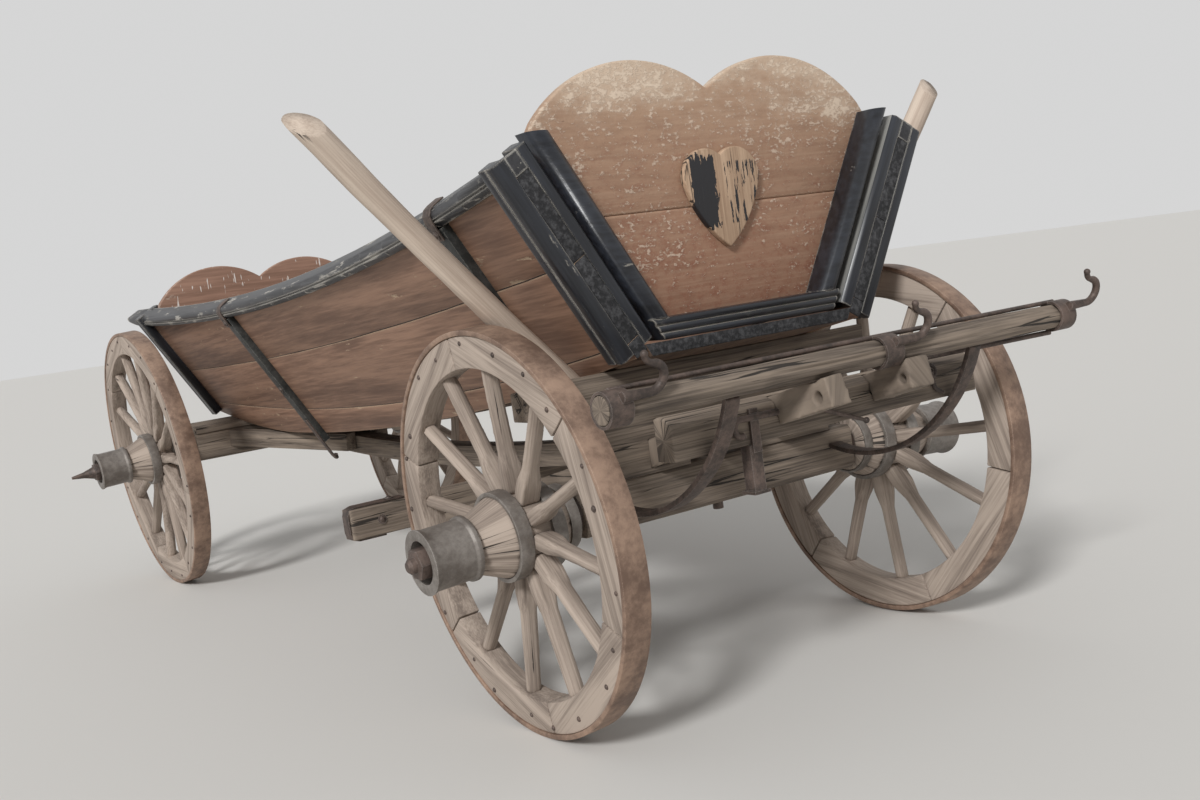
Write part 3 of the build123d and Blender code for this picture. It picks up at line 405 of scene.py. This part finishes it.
# Small irons of the front gear: flat straps bent hot round the ends of the sway bar, the
# forged bolts that hold them, and the rings of the rosette in front of the cross beam.
HANDS = ((-1, "left"), (1, "right"))
STRAP_WIDTH = 0.042
STRAP_THICKNESS = 0.005
STRAP_BOLT = 0.009
TOP_BOLT_BACK = 0.13
SIDE_BOLT_BACK = 0.09
# how far back from the sway bar's tip, and how far up from its top or from its underside
STRAP_ABOVE = ((0.17, 0.002), (0.02, 0.002), (0.002, -0.004), (-0.003, -0.02))
STRAP_BELOW = ((-0.003, 0.02), (0.002, 0.004), (0.02, -0.002), (0.1, -0.002))
BOLT_DOME = 0.75
BOLT_SMOOTH_ANGLE = 35
WASHER_RADIUS = 1.5
WASHER_THICKNESS = 0.4
ROSETTE = (0.290, -1.8500, 0.6757)
OUTER_RING = (0.0145, 0.0028)
INNER_RING = (0.0075, 0.0022)
ROSETTE_BOSS = 0.0035


def fasten(piece, body):
    """Give a small iron its finish and let it move with the body that carries it."""
    piece.data.materials.append(forged_iron)
    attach(piece, body)


def strap(name, points, across, thick, body):
    """A flat iron bent along its points, made from one edge that is drawn out."""
    bpy.ops.object.select_all(action="DESELECT")
    bpy.ops.mesh.primitive_plane_add(size=1)
    piece = bpy.context.active_object
    half = Vector(across) / 2
    points = [Vector(point) for point in points]
    first_face = (points[0] - half, points[0] + half, points[1] - half, points[1] + half)
    for vertex, place in zip(piece.data.vertices, first_face):
        vertex.co = place
    bpy.ops.object.mode_set(mode="EDIT")
    bpy.ops.mesh.select_mode(type="VERT")
    bpy.ops.mesh.select_all(action="DESELECT")
    bpy.ops.object.mode_set(mode="OBJECT")
    piece.data.vertices[2].select = piece.data.vertices[3].select = True
    bpy.ops.object.mode_set(mode="EDIT")
    for before, after in zip(points[1:], points[2:]):
        bpy.ops.mesh.extrude_region_move(TRANSFORM_OT_translate={"value": after - before})
    bpy.ops.mesh.select_all(action="SELECT")
    bpy.ops.mesh.remove_doubles(threshold=WELD)
    bpy.ops.mesh.normals_make_consistent(inside=False)
    bpy.ops.object.mode_set(mode="OBJECT")
    wall = piece.modifiers.new("wall", "SOLIDIFY")
    wall.thickness = thick
    wall.offset = 0
    bpy.ops.object.modifier_apply(modifier=wall.name)
    rounded(piece, thick / 4)
    piece.name = name
    fasten(piece, body)


def repeated(model, name, places):
    """Copies of one small model at each place, joined to one piece; the model itself goes."""
    copies = []
    for place in places:
        mesh = model.data.copy()
        mesh.transform(place)
        copies.append(bpy.data.objects.new(name, mesh))
        bpy.context.scene.collection.objects.link(copies[-1])
    bpy.data.objects.remove(model)
    pick(*copies)
    bpy.ops.object.join()
    joined = bpy.context.active_object
    joined.name = name
    return joined


def facing(place, direction):
    """The matrix that stands a model at a place with its z axis in a direction."""
    return Matrix.Translation(place) @ Vector(direction).to_track_quat("Z", "Y").to_matrix().to_4x4()


def bolts(name, places, radius, body):
    """Domed bolt heads, each with a flat washer under it."""
    bpy.ops.object.select_all(action="DESELECT")
    bpy.ops.mesh.primitive_uv_sphere_add(segments=12, ring_count=8, radius=radius)
    bpy.ops.object.mode_set(mode="EDIT")
    bpy.ops.transform.resize(value=(1, 1, BOLT_DOME))
    bpy.ops.mesh.primitive_cylinder_add(
        vertices=12, radius=radius * WASHER_RADIUS, depth=radius * WASHER_THICKNESS
    )
    bpy.ops.object.mode_set(mode="OBJECT")
    heads = repeated(bpy.context.active_object, name, places)
    bpy.ops.object.shade_smooth_by_angle(angle=radians(BOLT_SMOOTH_ANGLE))
    fasten(heads, body)


low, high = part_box("sway_bar")
middle = (low + high) / 2
for side, hand in HANDS:
    tip = side * high.x
    around = [(tip - side * back, middle.y, high.z + up) for back, up in STRAP_ABOVE]
    around += [(tip - side * back, middle.y, low.z + up) for back, up in STRAP_BELOW]
    strap(f"sway_strap_{hand}", around, (0, STRAP_WIDTH, 0), STRAP_THICKNESS, "front_gear")
    heads = [
        facing((tip - side * TOP_BOLT_BACK, middle.y, high.z + STRAP_THICKNESS), (0, 0, 1)),
        facing((tip - side * SIDE_BOLT_BACK, low.y, middle.z), (0, -1, 0)),
        facing((tip - side * SIDE_BOLT_BACK, high.y, middle.z), (0, 1, 0)),
    ]
    bolts(f"sway_bolts_{hand}", heads, STRAP_BOLT, "front_gear")

bpy.ops.object.select_all(action="DESELECT")
bpy.ops.mesh.primitive_torus_add(
    major_radius=OUTER_RING[0], minor_radius=OUTER_RING[1], major_segments=32, minor_segments=8
)
bpy.ops.object.mode_set(mode="EDIT")
bpy.ops.mesh.primitive_torus_add(
    major_radius=INNER_RING[0], minor_radius=INNER_RING[1], major_segments=24, minor_segments=8
)
bpy.ops.mesh.primitive_uv_sphere_add(segments=12, ring_count=8, radius=ROSETTE_BOSS)
bpy.ops.object.mode_set(mode="OBJECT")
rings = repeated(bpy.context.active_object, "rosette_rings", [facing(ROSETTE, (0, -1, 0))])
bpy.ops.object.shade_smooth()
fasten(rings, "front_gear")

# Wheels: turned hubs, spokes driven into them and sawn felloes on the spokes' round tenons,
# all of hardwood.  They were left bare; the wood is paler than the gear's, whose colours also
# hold painted shade, and the hubs are cracked deep.
WHEELS = ("front_left", "front_right", "rear_left", "rear_right")
WHEEL_PALE = (178, 163, 150)
WHEEL_DARK = (122, 109, 99)
RIM_CRACKS = 0.35
HUB_CRACKS = 0.9
HUB_RELIEF = 0.003
FELLOE_ROUNDING = 0.004

wheel_wood, ground = new_material("wheel_wood")
finish(ground, *bare_wood(ground, WHEEL_PALE, WHEEL_DARK, RIM_CRACKS))
hub_wood, ground = new_material("hub_wood")
finish(ground, *bare_wood(ground, WHEEL_PALE, WHEEL_DARK, HUB_CRACKS), depth=HUB_RELIEF)

axle_of = {joint["child"]: joint for joint in frame["joints"]}
for wheel in WHEELS:
    arm = axle_of[f"{wheel}_wheel"]["axis"]
    hub = weathered(f"{wheel}_hub", voxel=0.0036, hollow=0.002, split=0.008, along=arm, turned=0.08)
    hang(hub, f"{wheel}_hub", hub_wood)
    spokes = weathered(f"{wheel}_spokes", voxel=0.0045, hollow=0.001)
    hang(spokes, f"{wheel}_spokes", wheel_wood)
    felloes = rounded(copied(f"{wheel}_felloes"), FELLOE_ROUNDING)
    lay_grain(felloes)
    hang(felloes, f"{wheel}_felloes", wheel_wood)

# Tyres: iron hoops, set round the felloes hot and shrunk on.
# They have rusted to a pinkish brown, pitted all over and rubbed paler along their edges.
TYRE_ROUNDING = 0.003
tyre_iron = iron(
    "tyre_iron", rust=(166, 139, 120), dark=(112, 90, 77), bright=(196, 174, 156),
    fineness=1.0, roughness=0.4, metal=0.3,
)
for wheel in WHEELS:
    hang(rounded(copied(f"{wheel}_tyre"), TYRE_ROUNDING), f"{wheel}_tyre", tyre_iron)

# Hub irons: bands round the hub on both sides of the spokes and the open nose that guards
# the axle nut, forged from grey iron, driven on and worn smooth.
BAND_ROUNDING = 0.0015
hub_iron = iron(
    "hub_iron", rust=(142, 136, 130), dark=(106, 99, 93), bright=(184, 180, 174),
    fineness=1.5, roughness=0.35, metal=0.3,
)
for wheel in WHEELS:
    hang(rounded(copied(f"{wheel}_hub_irons"), BAND_ROUNDING), f"{wheel}_hub_irons", hub_iron)

# Nails: forged heads round the outer face of each rim, driven in near the tyre.
# They are dark, of uneven sizes and none too evenly spaced.
NAIL_RADIUS = 0.005
NAIL_DOME = 0.7
NAIL_STEP_ANGLE = 17
NAIL_FROM_RIM = (0.030, 0.040)
NAIL_STRAY_ANGLE = 8
NAIL_STRAY = 0.008
NAIL_GROWTH = 0.6
RIM_FACE = 0.029


def wheel_place(wheel, angle, radius, out):
    """Where something sits on a wheel: turned to an angle, out from the hub, proud of its middle."""
    joint = axle_of[f"{wheel}_wheel"]
    outward = Vector(joint["axis"])
    ahead = Vector((0, 1, 0))
    to_wheel = Matrix((ahead, outward.cross(ahead), outward)).transposed().to_4x4()
    middle = Matrix.Translation(Vector(joint["pos_m"]))
    spin = Matrix.Rotation(radians(angle), 4, "Z") @ Matrix.Translation((radius, 0, out))
    return middle @ to_wheel @ spin


for wheel in WHEELS:
    near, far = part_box(f"{wheel}_tyre")
    rim = (far.y - near.y) / 2
    bpy.ops.object.select_all(action="DESELECT")
    bpy.ops.mesh.primitive_uv_sphere_add(segments=10, ring_count=6, radius=NAIL_RADIUS)
    bpy.ops.object.mode_set(mode="EDIT")
    bpy.ops.transform.resize(value=(1, 1, NAIL_DOME))
    bpy.ops.object.mode_set(mode="OBJECT")
    bpy.ops.object.shade_smooth()
    places = []
    for count in range(int(360 / NAIL_STEP_ANGLE)):
        uneven = soft_noise(Vector((count * 1.7, rim * 10, 0)))
        angle = count * NAIL_STEP_ANGLE + uneven * NAIL_STRAY_ANGLE
        radius = rim - NAIL_FROM_RIM[count % 2] - uneven * NAIL_STRAY
        size = Matrix.Scale(1 + NAIL_GROWTH * abs(uneven), 4)
        places.append(wheel_place(wheel, angle, radius, RIM_FACE) @ size)
    fasten(repeated(bpy.context.active_object, f"{wheel}_nails", places), f"{wheel}_wheel")

# Box sides: three wide planks each, sawn to long curves and held by the stanchions.  Their
# brown paint is worn off along the edges.  Their ends, and the lower edges of the middle and
# top planks, are black and have gone rough like charcoal.
FLARE = radians(30)
PLANK_ROUNDING = 0.003
CHARCOAL_PALE = (78, 78, 80)
CHARCOAL_DARK = (34, 34, 36)
PLANK_END_TILT = 0.3
PLANK_EDGE_TILT = 0.3
DRIP_WHITE = (226, 220, 214)
BARE_ROUGHNESS = 0.8


def painted_wood(name, paint, dark, under, cover, roughness, edge, drips=0):
    """Old paint over wood, worn off along the edges and in patches, or spotted with drips."""
    material, ground = new_material(name)
    place = grain_place(ground)
    wood, _, relief = bare_wood(ground, under, tuple(part * 0.75 for part in under), 0.4)
    scuffs = noise(stretched(place, 7, 30, 30), 1, 6, 0.7)
    worn = scuffs + corner(ground, 0.008) * edge
    keep = 1 - fade(worn, cover, cover + 0.06)
    tone = noise(stretched(place, 1.2, 10, 10), 1, 4, 0.6)
    fine = noise(stretched(place, 5, 90, 90), 1, 4, 0.6)
    coat = colours(fade(tone * 0.55 + fine * 0.45, 0.36, 0.64), shade(*dark), shade(*paint))
    colour = colours(keep, wood, coat)
    if drips:
        hanging = stretched(wagon_place(ground), 95, 95, 16)
        white = fade(noise(hanging, 1, 2, 0.4) + noise(place, 5) * 0.25, 0.79, 0.81)
        colour = colours(white * drips, colour, shade(*DRIP_WHITE))
    dulled = keep * (roughness - BARE_ROUGHNESS) + BARE_ROUGHNESS
    height = relief * 0.4 + keep * 0.4 + fine * 0.3
    finish(ground, colour, dulled, height, depth=0.0012)
    return material


charcoal, ground = new_material("charcoal_ends")
lumps = noise(wagon_place(ground), 90, 5, 0.65)
tone = colours(fade(lumps, 0.4, 0.7), shade(*CHARCOAL_DARK), shade(*CHARCOAL_PALE))
finish(ground, tone, 0.85 + lumps * 0.1, lumps, depth=0.004)
brown_paint = painted_wood(
    "brown_paint", paint=(150, 117, 96), dark=(104, 76, 60), under=(192, 168, 142),
    cover=0.64, roughness=0.6, edge=2.2,
)


def charred(plank, fall):
    """The choice of a plank's black faces: its ends and, above the bottom plank, its lower edge."""
    def chosen(middle, normal):
        return abs(normal.y) > PLANK_END_TILT or (plank != "bottom" and normal.dot(fall) > PLANK_EDGE_TILT)
    return chosen


for side, hand in HANDS:
    fall = Vector((-side * sin(FLARE), 0, -cos(FLARE)))
    for plank in ("bottom", "middle", "top"):
        piece = rounded(copied(f"{plank}_plank_{hand}"), PLANK_ROUNDING)
        lay_grain(piece)
        hang(piece, f"{plank}_plank_{hand}", brown_paint)
        second_material(piece, charcoal, charred(plank, fall))

# Floor: long boards bent to the keel line and fixed between the lowest planks.
# They were left bare inside, and their ends are as black as the planks' ends.
FLOOR_ROUNDING = 0.002
FLOOR_END_TILT = 0.5
bare_boards, ground = new_material("bare_boards")
finish(ground, *bare_wood(ground, pale=(118, 96, 80), dark=(70, 55, 45), cracks=0.6))
piece = rounded(copied("floor"), FLOOR_ROUNDING)
lay_grain(piece, (0, 1, 0))
hang(piece, "floor", bare_boards)
second_material(piece, charcoal, lambda middle, normal: abs(normal.y) > FLOOR_END_TILT)

# End boards: two planks each, sawn to two lobes at the top and held by battens, under the
# same brown paint.  The front one is worn pale at the top and redder low down, and the rear
# one is spotted with white.
BOARD_ROUNDING = 0.006
BOARD_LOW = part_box("front_board_lower")[0].z
BOARD_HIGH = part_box("front_board_upper")[1].z
PAINT_LOW = (146, 106, 84)
PAINT_HIGH = (170, 140, 116)
PAINT_STREAKS = (118, 88, 70)
PAINT_BRUSHED = (190, 162, 138)
PAINT_REDDISH = (132, 82, 62)
PAINT_WASHED = (214, 194, 172)
PAINT_FLAKES = (222, 204, 184)
PAINT_KNOTS = (92, 66, 52)
RUBBED_EDGE = (226, 204, 178)

front_paint, ground = new_material("front_paint")
place = grain_place(ground)
height_up = ground.node("SeparateXYZ", {}, {0: wagon_place(ground)}, "Z")
height_up = (height_up - BOARD_LOW) * (1 / (BOARD_HIGH - BOARD_LOW))
streaks = noise(stretched(place, 6, 26, 26), 1, 6, 0.7)
broad = noise(stretched(place, 4, 8, 8), 1, 5, 0.6)
mottled = noise(stretched(place, 34, 46, 46), 1, 6, 0.75)
specks = noise(stretched(place, 75, 130, 130), 1, 4, 0.7)
brushed = noise(stretched(place, 3, 130, 130), 1, 4, 0.6)
coat = colours(height_up, shade(*PAINT_LOW), shade(*PAINT_HIGH))
coat = colours(fade(streaks, 0.42, 0.68) * 0.35, coat, shade(*PAINT_STREAKS))
coat = colours(fade(brushed, 0.42, 0.7) * 0.22, coat, shade(*PAINT_BRUSHED))
reddish = fade(mottled + broad * 0.5, 0.68, 0.9) * (0.75 - height_up * 0.6)
coat = colours(reddish, coat, shade(*PAINT_REDDISH))
washed = fade(height_up * 0.8 + broad * 0.75 + mottled * 0.35, 1.1, 1.45)
colour = colours(washed * 0.8, coat, shade(*PAINT_WASHED))
flakes = fade(specks * 0.6 + mottled * 0.5 + broad * 0.35 + height_up * 0.07, 0.8, 0.86)
colour = colours(flakes * 0.55, colour, shade(*PAINT_FLAKES))
knots = fade(noise(stretched(place, 14, 50, 50), 1, 3), 0.74, 0.8)
colour = colours(knots * 0.7, colour, shade(*PAINT_KNOTS))
rubbed = fade(corner(ground, 0.01), 0.03, 0.2)
colour = colours(rubbed * 0.8, colour, shade(*RUBBED_EDGE))
relief = mottled * 0.5 + flakes * 0.2 + specks * 0.3
finish(ground, colour, 0.7 + streaks * 0.1, relief, depth=0.0022)
rear_paint = painted_wood(
    "rear_paint", paint=(164, 128, 109), dark=(130, 99, 82), under=(212, 196, 180),
    cover=0.62, roughness=0.6, edge=1.2, drips=0.9,
)
for end, paint in (("front", front_paint), ("rear", rear_paint)):
    for half in ("lower", "upper"):
        piece = rounded(copied(f"{end}_board_{half}"), BOARD_ROUNDING, segments=3)
        lay_grain(piece, (1, 0, 0))
        hang(piece, f"{end}_board_{half}", paint)

# Heart: a flat wooden heart nailed on the front board, its edge rounded off.
# It was painted black; a ragged patch is left on its left half and streaks on the right.
HEART_ROUNDING = 0.008
HEART_BLACK = (34, 33, 36)
HEART_LOW, HEART_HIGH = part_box("front_heart")
HEART_MIDDLE = (HEART_LOW.z + HEART_HIGH.z) / 2
# the black patch: its middle and its half width, across and up
PATCH_ACROSS = (-0.056, 0.036)
PATCH_UP = (0.012, 0.082)

heart_wood, ground = new_material("heart_wood")
where = wagon_place(ground)
sideways = ground.node("SeparateXYZ", {}, {0: where}, "X")
upwards = ground.node("SeparateXYZ", {}, {0: where}, "Z") - HEART_MIDDLE
wood, _, relief = bare_wood(ground, pale=(190, 162, 136), dark=(146, 118, 95), cracks=0.6)
ragged = noise(stretched(where, 90, 90, 28), 1, 5, 0.65) - 0.5
patch = fade(PATCH_ACROSS[1] - abs(sideways - PATCH_ACROSS[0]) + ragged * 0.05, 0, 0.003)
patch = patch * fade(PATCH_UP[1] - abs(upwards - PATCH_UP[0]) + ragged * 0.09, 0, 0.004)
drips = fade(noise(stretched(where, 85, 85, 11), 1, 5, 0.65), 0.53, 0.56) * fade(sideways, 0.002, 0.01)
drips = drips * fade(0.08 - abs(upwards - 0.01), 0, 0.02)
black = fade(patch + drips, 0.3, 0.7)
colour = colours(black, wood, shade(*HEART_BLACK))
finish(ground, colour, 0.75 - black * 0.2, relief * 0.5 + black * 0.6)
heart = rounded(copied("front_heart"), HEART_ROUNDING, segments=4)
lay_grain(heart, (0, 0, 1))
hang(heart, "front_heart", heart_wood)

# Black mouldings: rails along the tops of the sides, strips down their ends and battens on
# the end boards, planed from hardwood, nailed on and painted black.  The paint is rubbed off
# their edges, and the strips' inner faces are given a light grey painted reflection.
MOULDING_ROUNDING = 0.0025
CLEAT_TOP = {"front_battens": 1.3, "rear_battens": 1.115}
INNER_TILT = 0.9

black_paint = painted_wood(
    "black_paint", paint=(46, 49, 56), dark=(24, 25, 29), under=(176, 170, 160),
    cover=0.65, roughness=0.32, edge=1.5,
)
rail_paint = painted_wood(
    "rail_paint", paint=(58, 58, 61), dark=(26, 26, 29), under=(184, 180, 172),
    cover=0.58, roughness=0.42, edge=1.8,
)
# a light grey that stands for a painted reflection on the strips' inner faces
painted_reflection_grey = painted_wood(
    "painted_reflection_grey", paint=(158, 156, 150), dark=(112, 112, 110), under=(60, 60, 64),
    cover=0.6, roughness=0.45, edge=0.8,
)
for node, cut in CLEAT_TOP.items():
    piece = rounded(copied(node), MOULDING_ROUNDING)
    bpy.ops.object.mode_set(mode="EDIT")
    bpy.ops.mesh.select_all(action="SELECT")
    bpy.ops.mesh.bisect(plane_co=(0, 0, cut), plane_no=(0, 0, 1), use_fill=True, clear_outer=True)
    bpy.ops.object.mode_set(mode="OBJECT")
    lay_grain(piece)
    hang(piece, node, black_paint)
for side, hand in HANDS:
    strips = rounded(copied(f"end_strips_{hand}"), MOULDING_ROUNDING)
    lay_grain(strips)
    hang(strips, f"end_strips_{hand}", black_paint)
    inward = Vector((-side * cos(FLARE), 0, sin(FLARE)))
    # faces that turn inwards take the light grey painted reflection
    second_material(strips, painted_reflection_grey, lambda middle, normal: normal.dot(inward) > INNER_TILT)
    rail = rounded(copied(f"rail_{hand}"), MOULDING_ROUNDING)
    lay_grain(rail)
    hang(rail, f"rail_{hand}", rail_paint)

# Stanchions: two flat iron-edged bars outside each side, bolted to the planks and painted
# black.  A clip bent over the rail holds each one at its top, and the rear ones have a hook
# bent up at the foot.
CLIP_WIDTH = 0.036
CLIP_THICKNESS = 0.0045
# how far out from the side and how far up from the stanchion's top
CLIP_BEND = ((0.03, -0.028), (0.0295, 0.02), (0.026, 0.036), (0.014, 0.047), (0, 0.0495), (-0.03, 0.05))
HOOK_WIDTH = 0.024
HOOK_THICKNESS = 0.006
# how far back from the stanchion's middle, up from its foot and out from the side
HOOK_BEND = (
    (-0.012, 0.12, 0.027), (-0.014, 0, 0.029), (-0.018, -0.045, 0.03),
    (-0.012, -0.062, 0.026), (-0.002, -0.064, 0.018), (0.002, -0.05, 0.012),
)
STANCHION_BOLT = 0.008
BOLT_BELOW_TOP = 0.012
BOLT_ABOVE_FOOT = 0.05
BOLT_HALFWAY = 0.45
# how far out from the side a bolt sits on a clip and on a stanchion
ON_CLIP = 0.033
ON_STANCHION = 0.025
# where the planes of the sides start: across from the wagon's middle, and up from the ground
SIDE_FOOT = (0.19, 0.56)


def on_side(side, along, up, out):
    """A place on a sloping side: along the wagon, up the face from the keel and out from it."""
    flat = Vector((side * cos(FLARE), 0, -sin(FLARE)))
    rise = Vector((side * sin(FLARE), 0, cos(FLARE)))
    return Vector((side * SIDE_FOOT[0], along, SIDE_FOOT[1])) + rise * up + flat * out


black_iron = iron(
    "black_iron", rust=(80, 80, 78), dark=(44, 46, 45), bright=(172, 168, 160),
    fineness=2.0, roughness=0.35, metal=0.4,
)
for side, hand in HANDS:
    hang(rounded(copied(f"stanchions_{hand}"), IRON_ROUNDING), f"stanchions_{hand}", black_iron)
    outward = Vector((side * cos(FLARE), 0, -sin(FLARE)))
    heads = []
    for end, way in (("front", -1), ("rear", 1)):
        both = frame["nodes"][f"stanchions_{hand}"].data.vertices
        bar = [vertex.co for vertex in both if vertex.co.y * way > 0]
        along = sum(place.y for place in bar) / len(bar)
        top = (max(place.z for place in bar) - SIDE_FOOT[1]) / cos(FLARE)
        foot = (min(place.z for place in bar) - SIDE_FOOT[1]) / cos(FLARE)
        clip = [on_side(side, along, top + up, out) for out, up in CLIP_BEND]
        strap(f"rail_clip_{end}_{hand}", clip, (0, CLIP_WIDTH, 0), CLIP_THICKNESS, "wagon")
        halfway = top * BOLT_HALFWAY + foot * (1 - BOLT_HALFWAY)
        bolt_places = (
            (top - BOLT_BELOW_TOP, ON_CLIP),
            (halfway, ON_STANCHION),
            (foot + BOLT_ABOVE_FOOT, ON_STANCHION),
        )
        heads += [facing(on_side(side, along, up, out), outward) for up, out in bolt_places]
        if end == "rear":
            hook = [on_side(side, along + back, foot + up, out) for back, up, out in HOOK_BEND]
            strap(f"stanchion_hook_{hand}", hook, (0, HOOK_WIDTH, 0), HOOK_THICKNESS, "wagon")
    bolts(f"stanchion_bolts_{hand}", heads, STANCHION_BOLT, "wagon")

# Stakes: two peeled poles that stand loose in the ends of the front bolster.
# Their wood is pale and a little bent, with a slanted cut at the tip.
STAKE_BEND = 0.012
STAKE_WAVE = 5.5
TIP_CUT = 0.05
TIP_SLOPE = (0.2, -0.75, 0.65)
peeled_pole, ground = new_material("peeled_pole")
finish(ground, *bare_wood(ground, pale=(206, 190, 174), dark=(172, 154, 139), cracks=0.35))
for side, hand in HANDS:
    stake = weathered(f"stake_{hand}", voxel=0.005, hollow=0.003, turned=0.031)
    foot = min(vertex.co.z for vertex in stake.data.vertices)
    tall = max(vertex.co.z for vertex in stake.data.vertices) - foot
    for vertex in stake.data.vertices:
        up = (vertex.co.z - foot) / tall
        vertex.co.y += STAKE_BEND * sin(up * STAKE_WAVE + side) * up
    top = max(stake.data.vertices, key=lambda vertex: vertex.co.z).co.copy()
    bpy.ops.object.mode_set(mode="EDIT")
    bpy.ops.mesh.select_all(action="SELECT")
    bpy.ops.mesh.bisect(
        plane_co=top - Vector((0, 0, TIP_CUT)), plane_no=(side * TIP_SLOPE[0], *TIP_SLOPE[1:]),
        use_fill=True, clear_outer=True,
    )
    bpy.ops.object.mode_set(mode="OBJECT")
    hang(stake, f"stake_{hand}", peeled_pole)

# Studio: a wide pale floor and a pale sky that shines softly from all round, with one
# large soft lamp high on the left in front.
FLOOR_SIZE = 120
FLOOR_COLOUR = (214, 212, 208)
LAMP_FROM = Vector((-8.0, -5.6, 6.4))
LAMP_STRENGTH = 2.4
LAMP_WIDTH = radians(12)
SKY_COLOUR = (244, 244, 244)
SKY_LIGHT = 0.52
SKY_EXTRA_SEEN = 0.22

bpy.ops.object.select_all(action="DESELECT")
bpy.ops.mesh.primitive_plane_add(size=FLOOR_SIZE, location=(0, 0, 0))
floor = bpy.context.active_object
floor.name = "studio_floor"
floor_finish, ground = new_material("studio_floor")
place = wagon_place(ground)
finish(ground, shade(*FLOOR_COLOUR), 0.9 + noise(place, 2) * 0.02, noise(place, 30), depth=0.0001)
floor.data.materials.append(floor_finish)

lamp = bpy.data.objects.new("lamp", bpy.data.lights.new("lamp", "SUN"))
lamp.data.energy = LAMP_STRENGTH
lamp.data.angle = LAMP_WIDTH
lamp.rotation_euler = LAMP_FROM.to_track_quat("Z", "Y").to_euler()
bpy.context.scene.collection.objects.link(lamp)

world = bpy.data.worlds.new("studio")
bpy.context.scene.world = world
world.use_nodes = True
world.node_tree.nodes.clear()
ground = Socket(world.node_tree)
seen = ground.node("LightPath", {}, {}, "Is Camera Ray") + ground.node("LightPath", {}, {}, "Is Glossy Ray")
seen = seen + ground.node("LightPath", {}, {}, "Is Transmission Ray")
strength = fade(seen, 0, 1) * SKY_EXTRA_SEEN + SKY_LIGHT
sky = ground.node("Background", {}, {"Color": shade(*SKY_COLOUR), "Strength": strength})
ground.node("OutputWorld", {}, {"Surface": sky})

# Camera: low down off the wagon's front left corner, its frame a little tilted.
# The angles are in radians, and the focal length is in pixels of a picture 1200 wide.
EYE = Vector((-1.930, -3.8895, 0.995))
YAW = 0.578
PITCH = -0.095
ROLL = -0.140
FOCAL_PIXELS = 1308.9
PICTURE_WIDTH = 1200
ahead = Vector((sin(YAW) * cos(PITCH), cos(YAW) * cos(PITCH), sin(PITCH)))
level = Vector((cos(YAW), -sin(YAW), 0))
upright = level.cross(ahead)
right = level * cos(ROLL) + upright * sin(ROLL)
up = upright * cos(ROLL) - level * sin(ROLL)
camera = bpy.data.objects.new("camera", bpy.data.cameras.new("camera"))
camera.data.lens = camera.data.sensor_width * FOCAL_PIXELS / PICTURE_WIDTH
camera.matrix_world = Matrix.Translation(EYE) @ Matrix((right, up, -ahead)).transposed().to_4x4()
bpy.context.scene.collection.objects.link(camera)
bpy.context.scene.camera = camera
bpy.context.scene.view_settings.view_transform = "Standard"
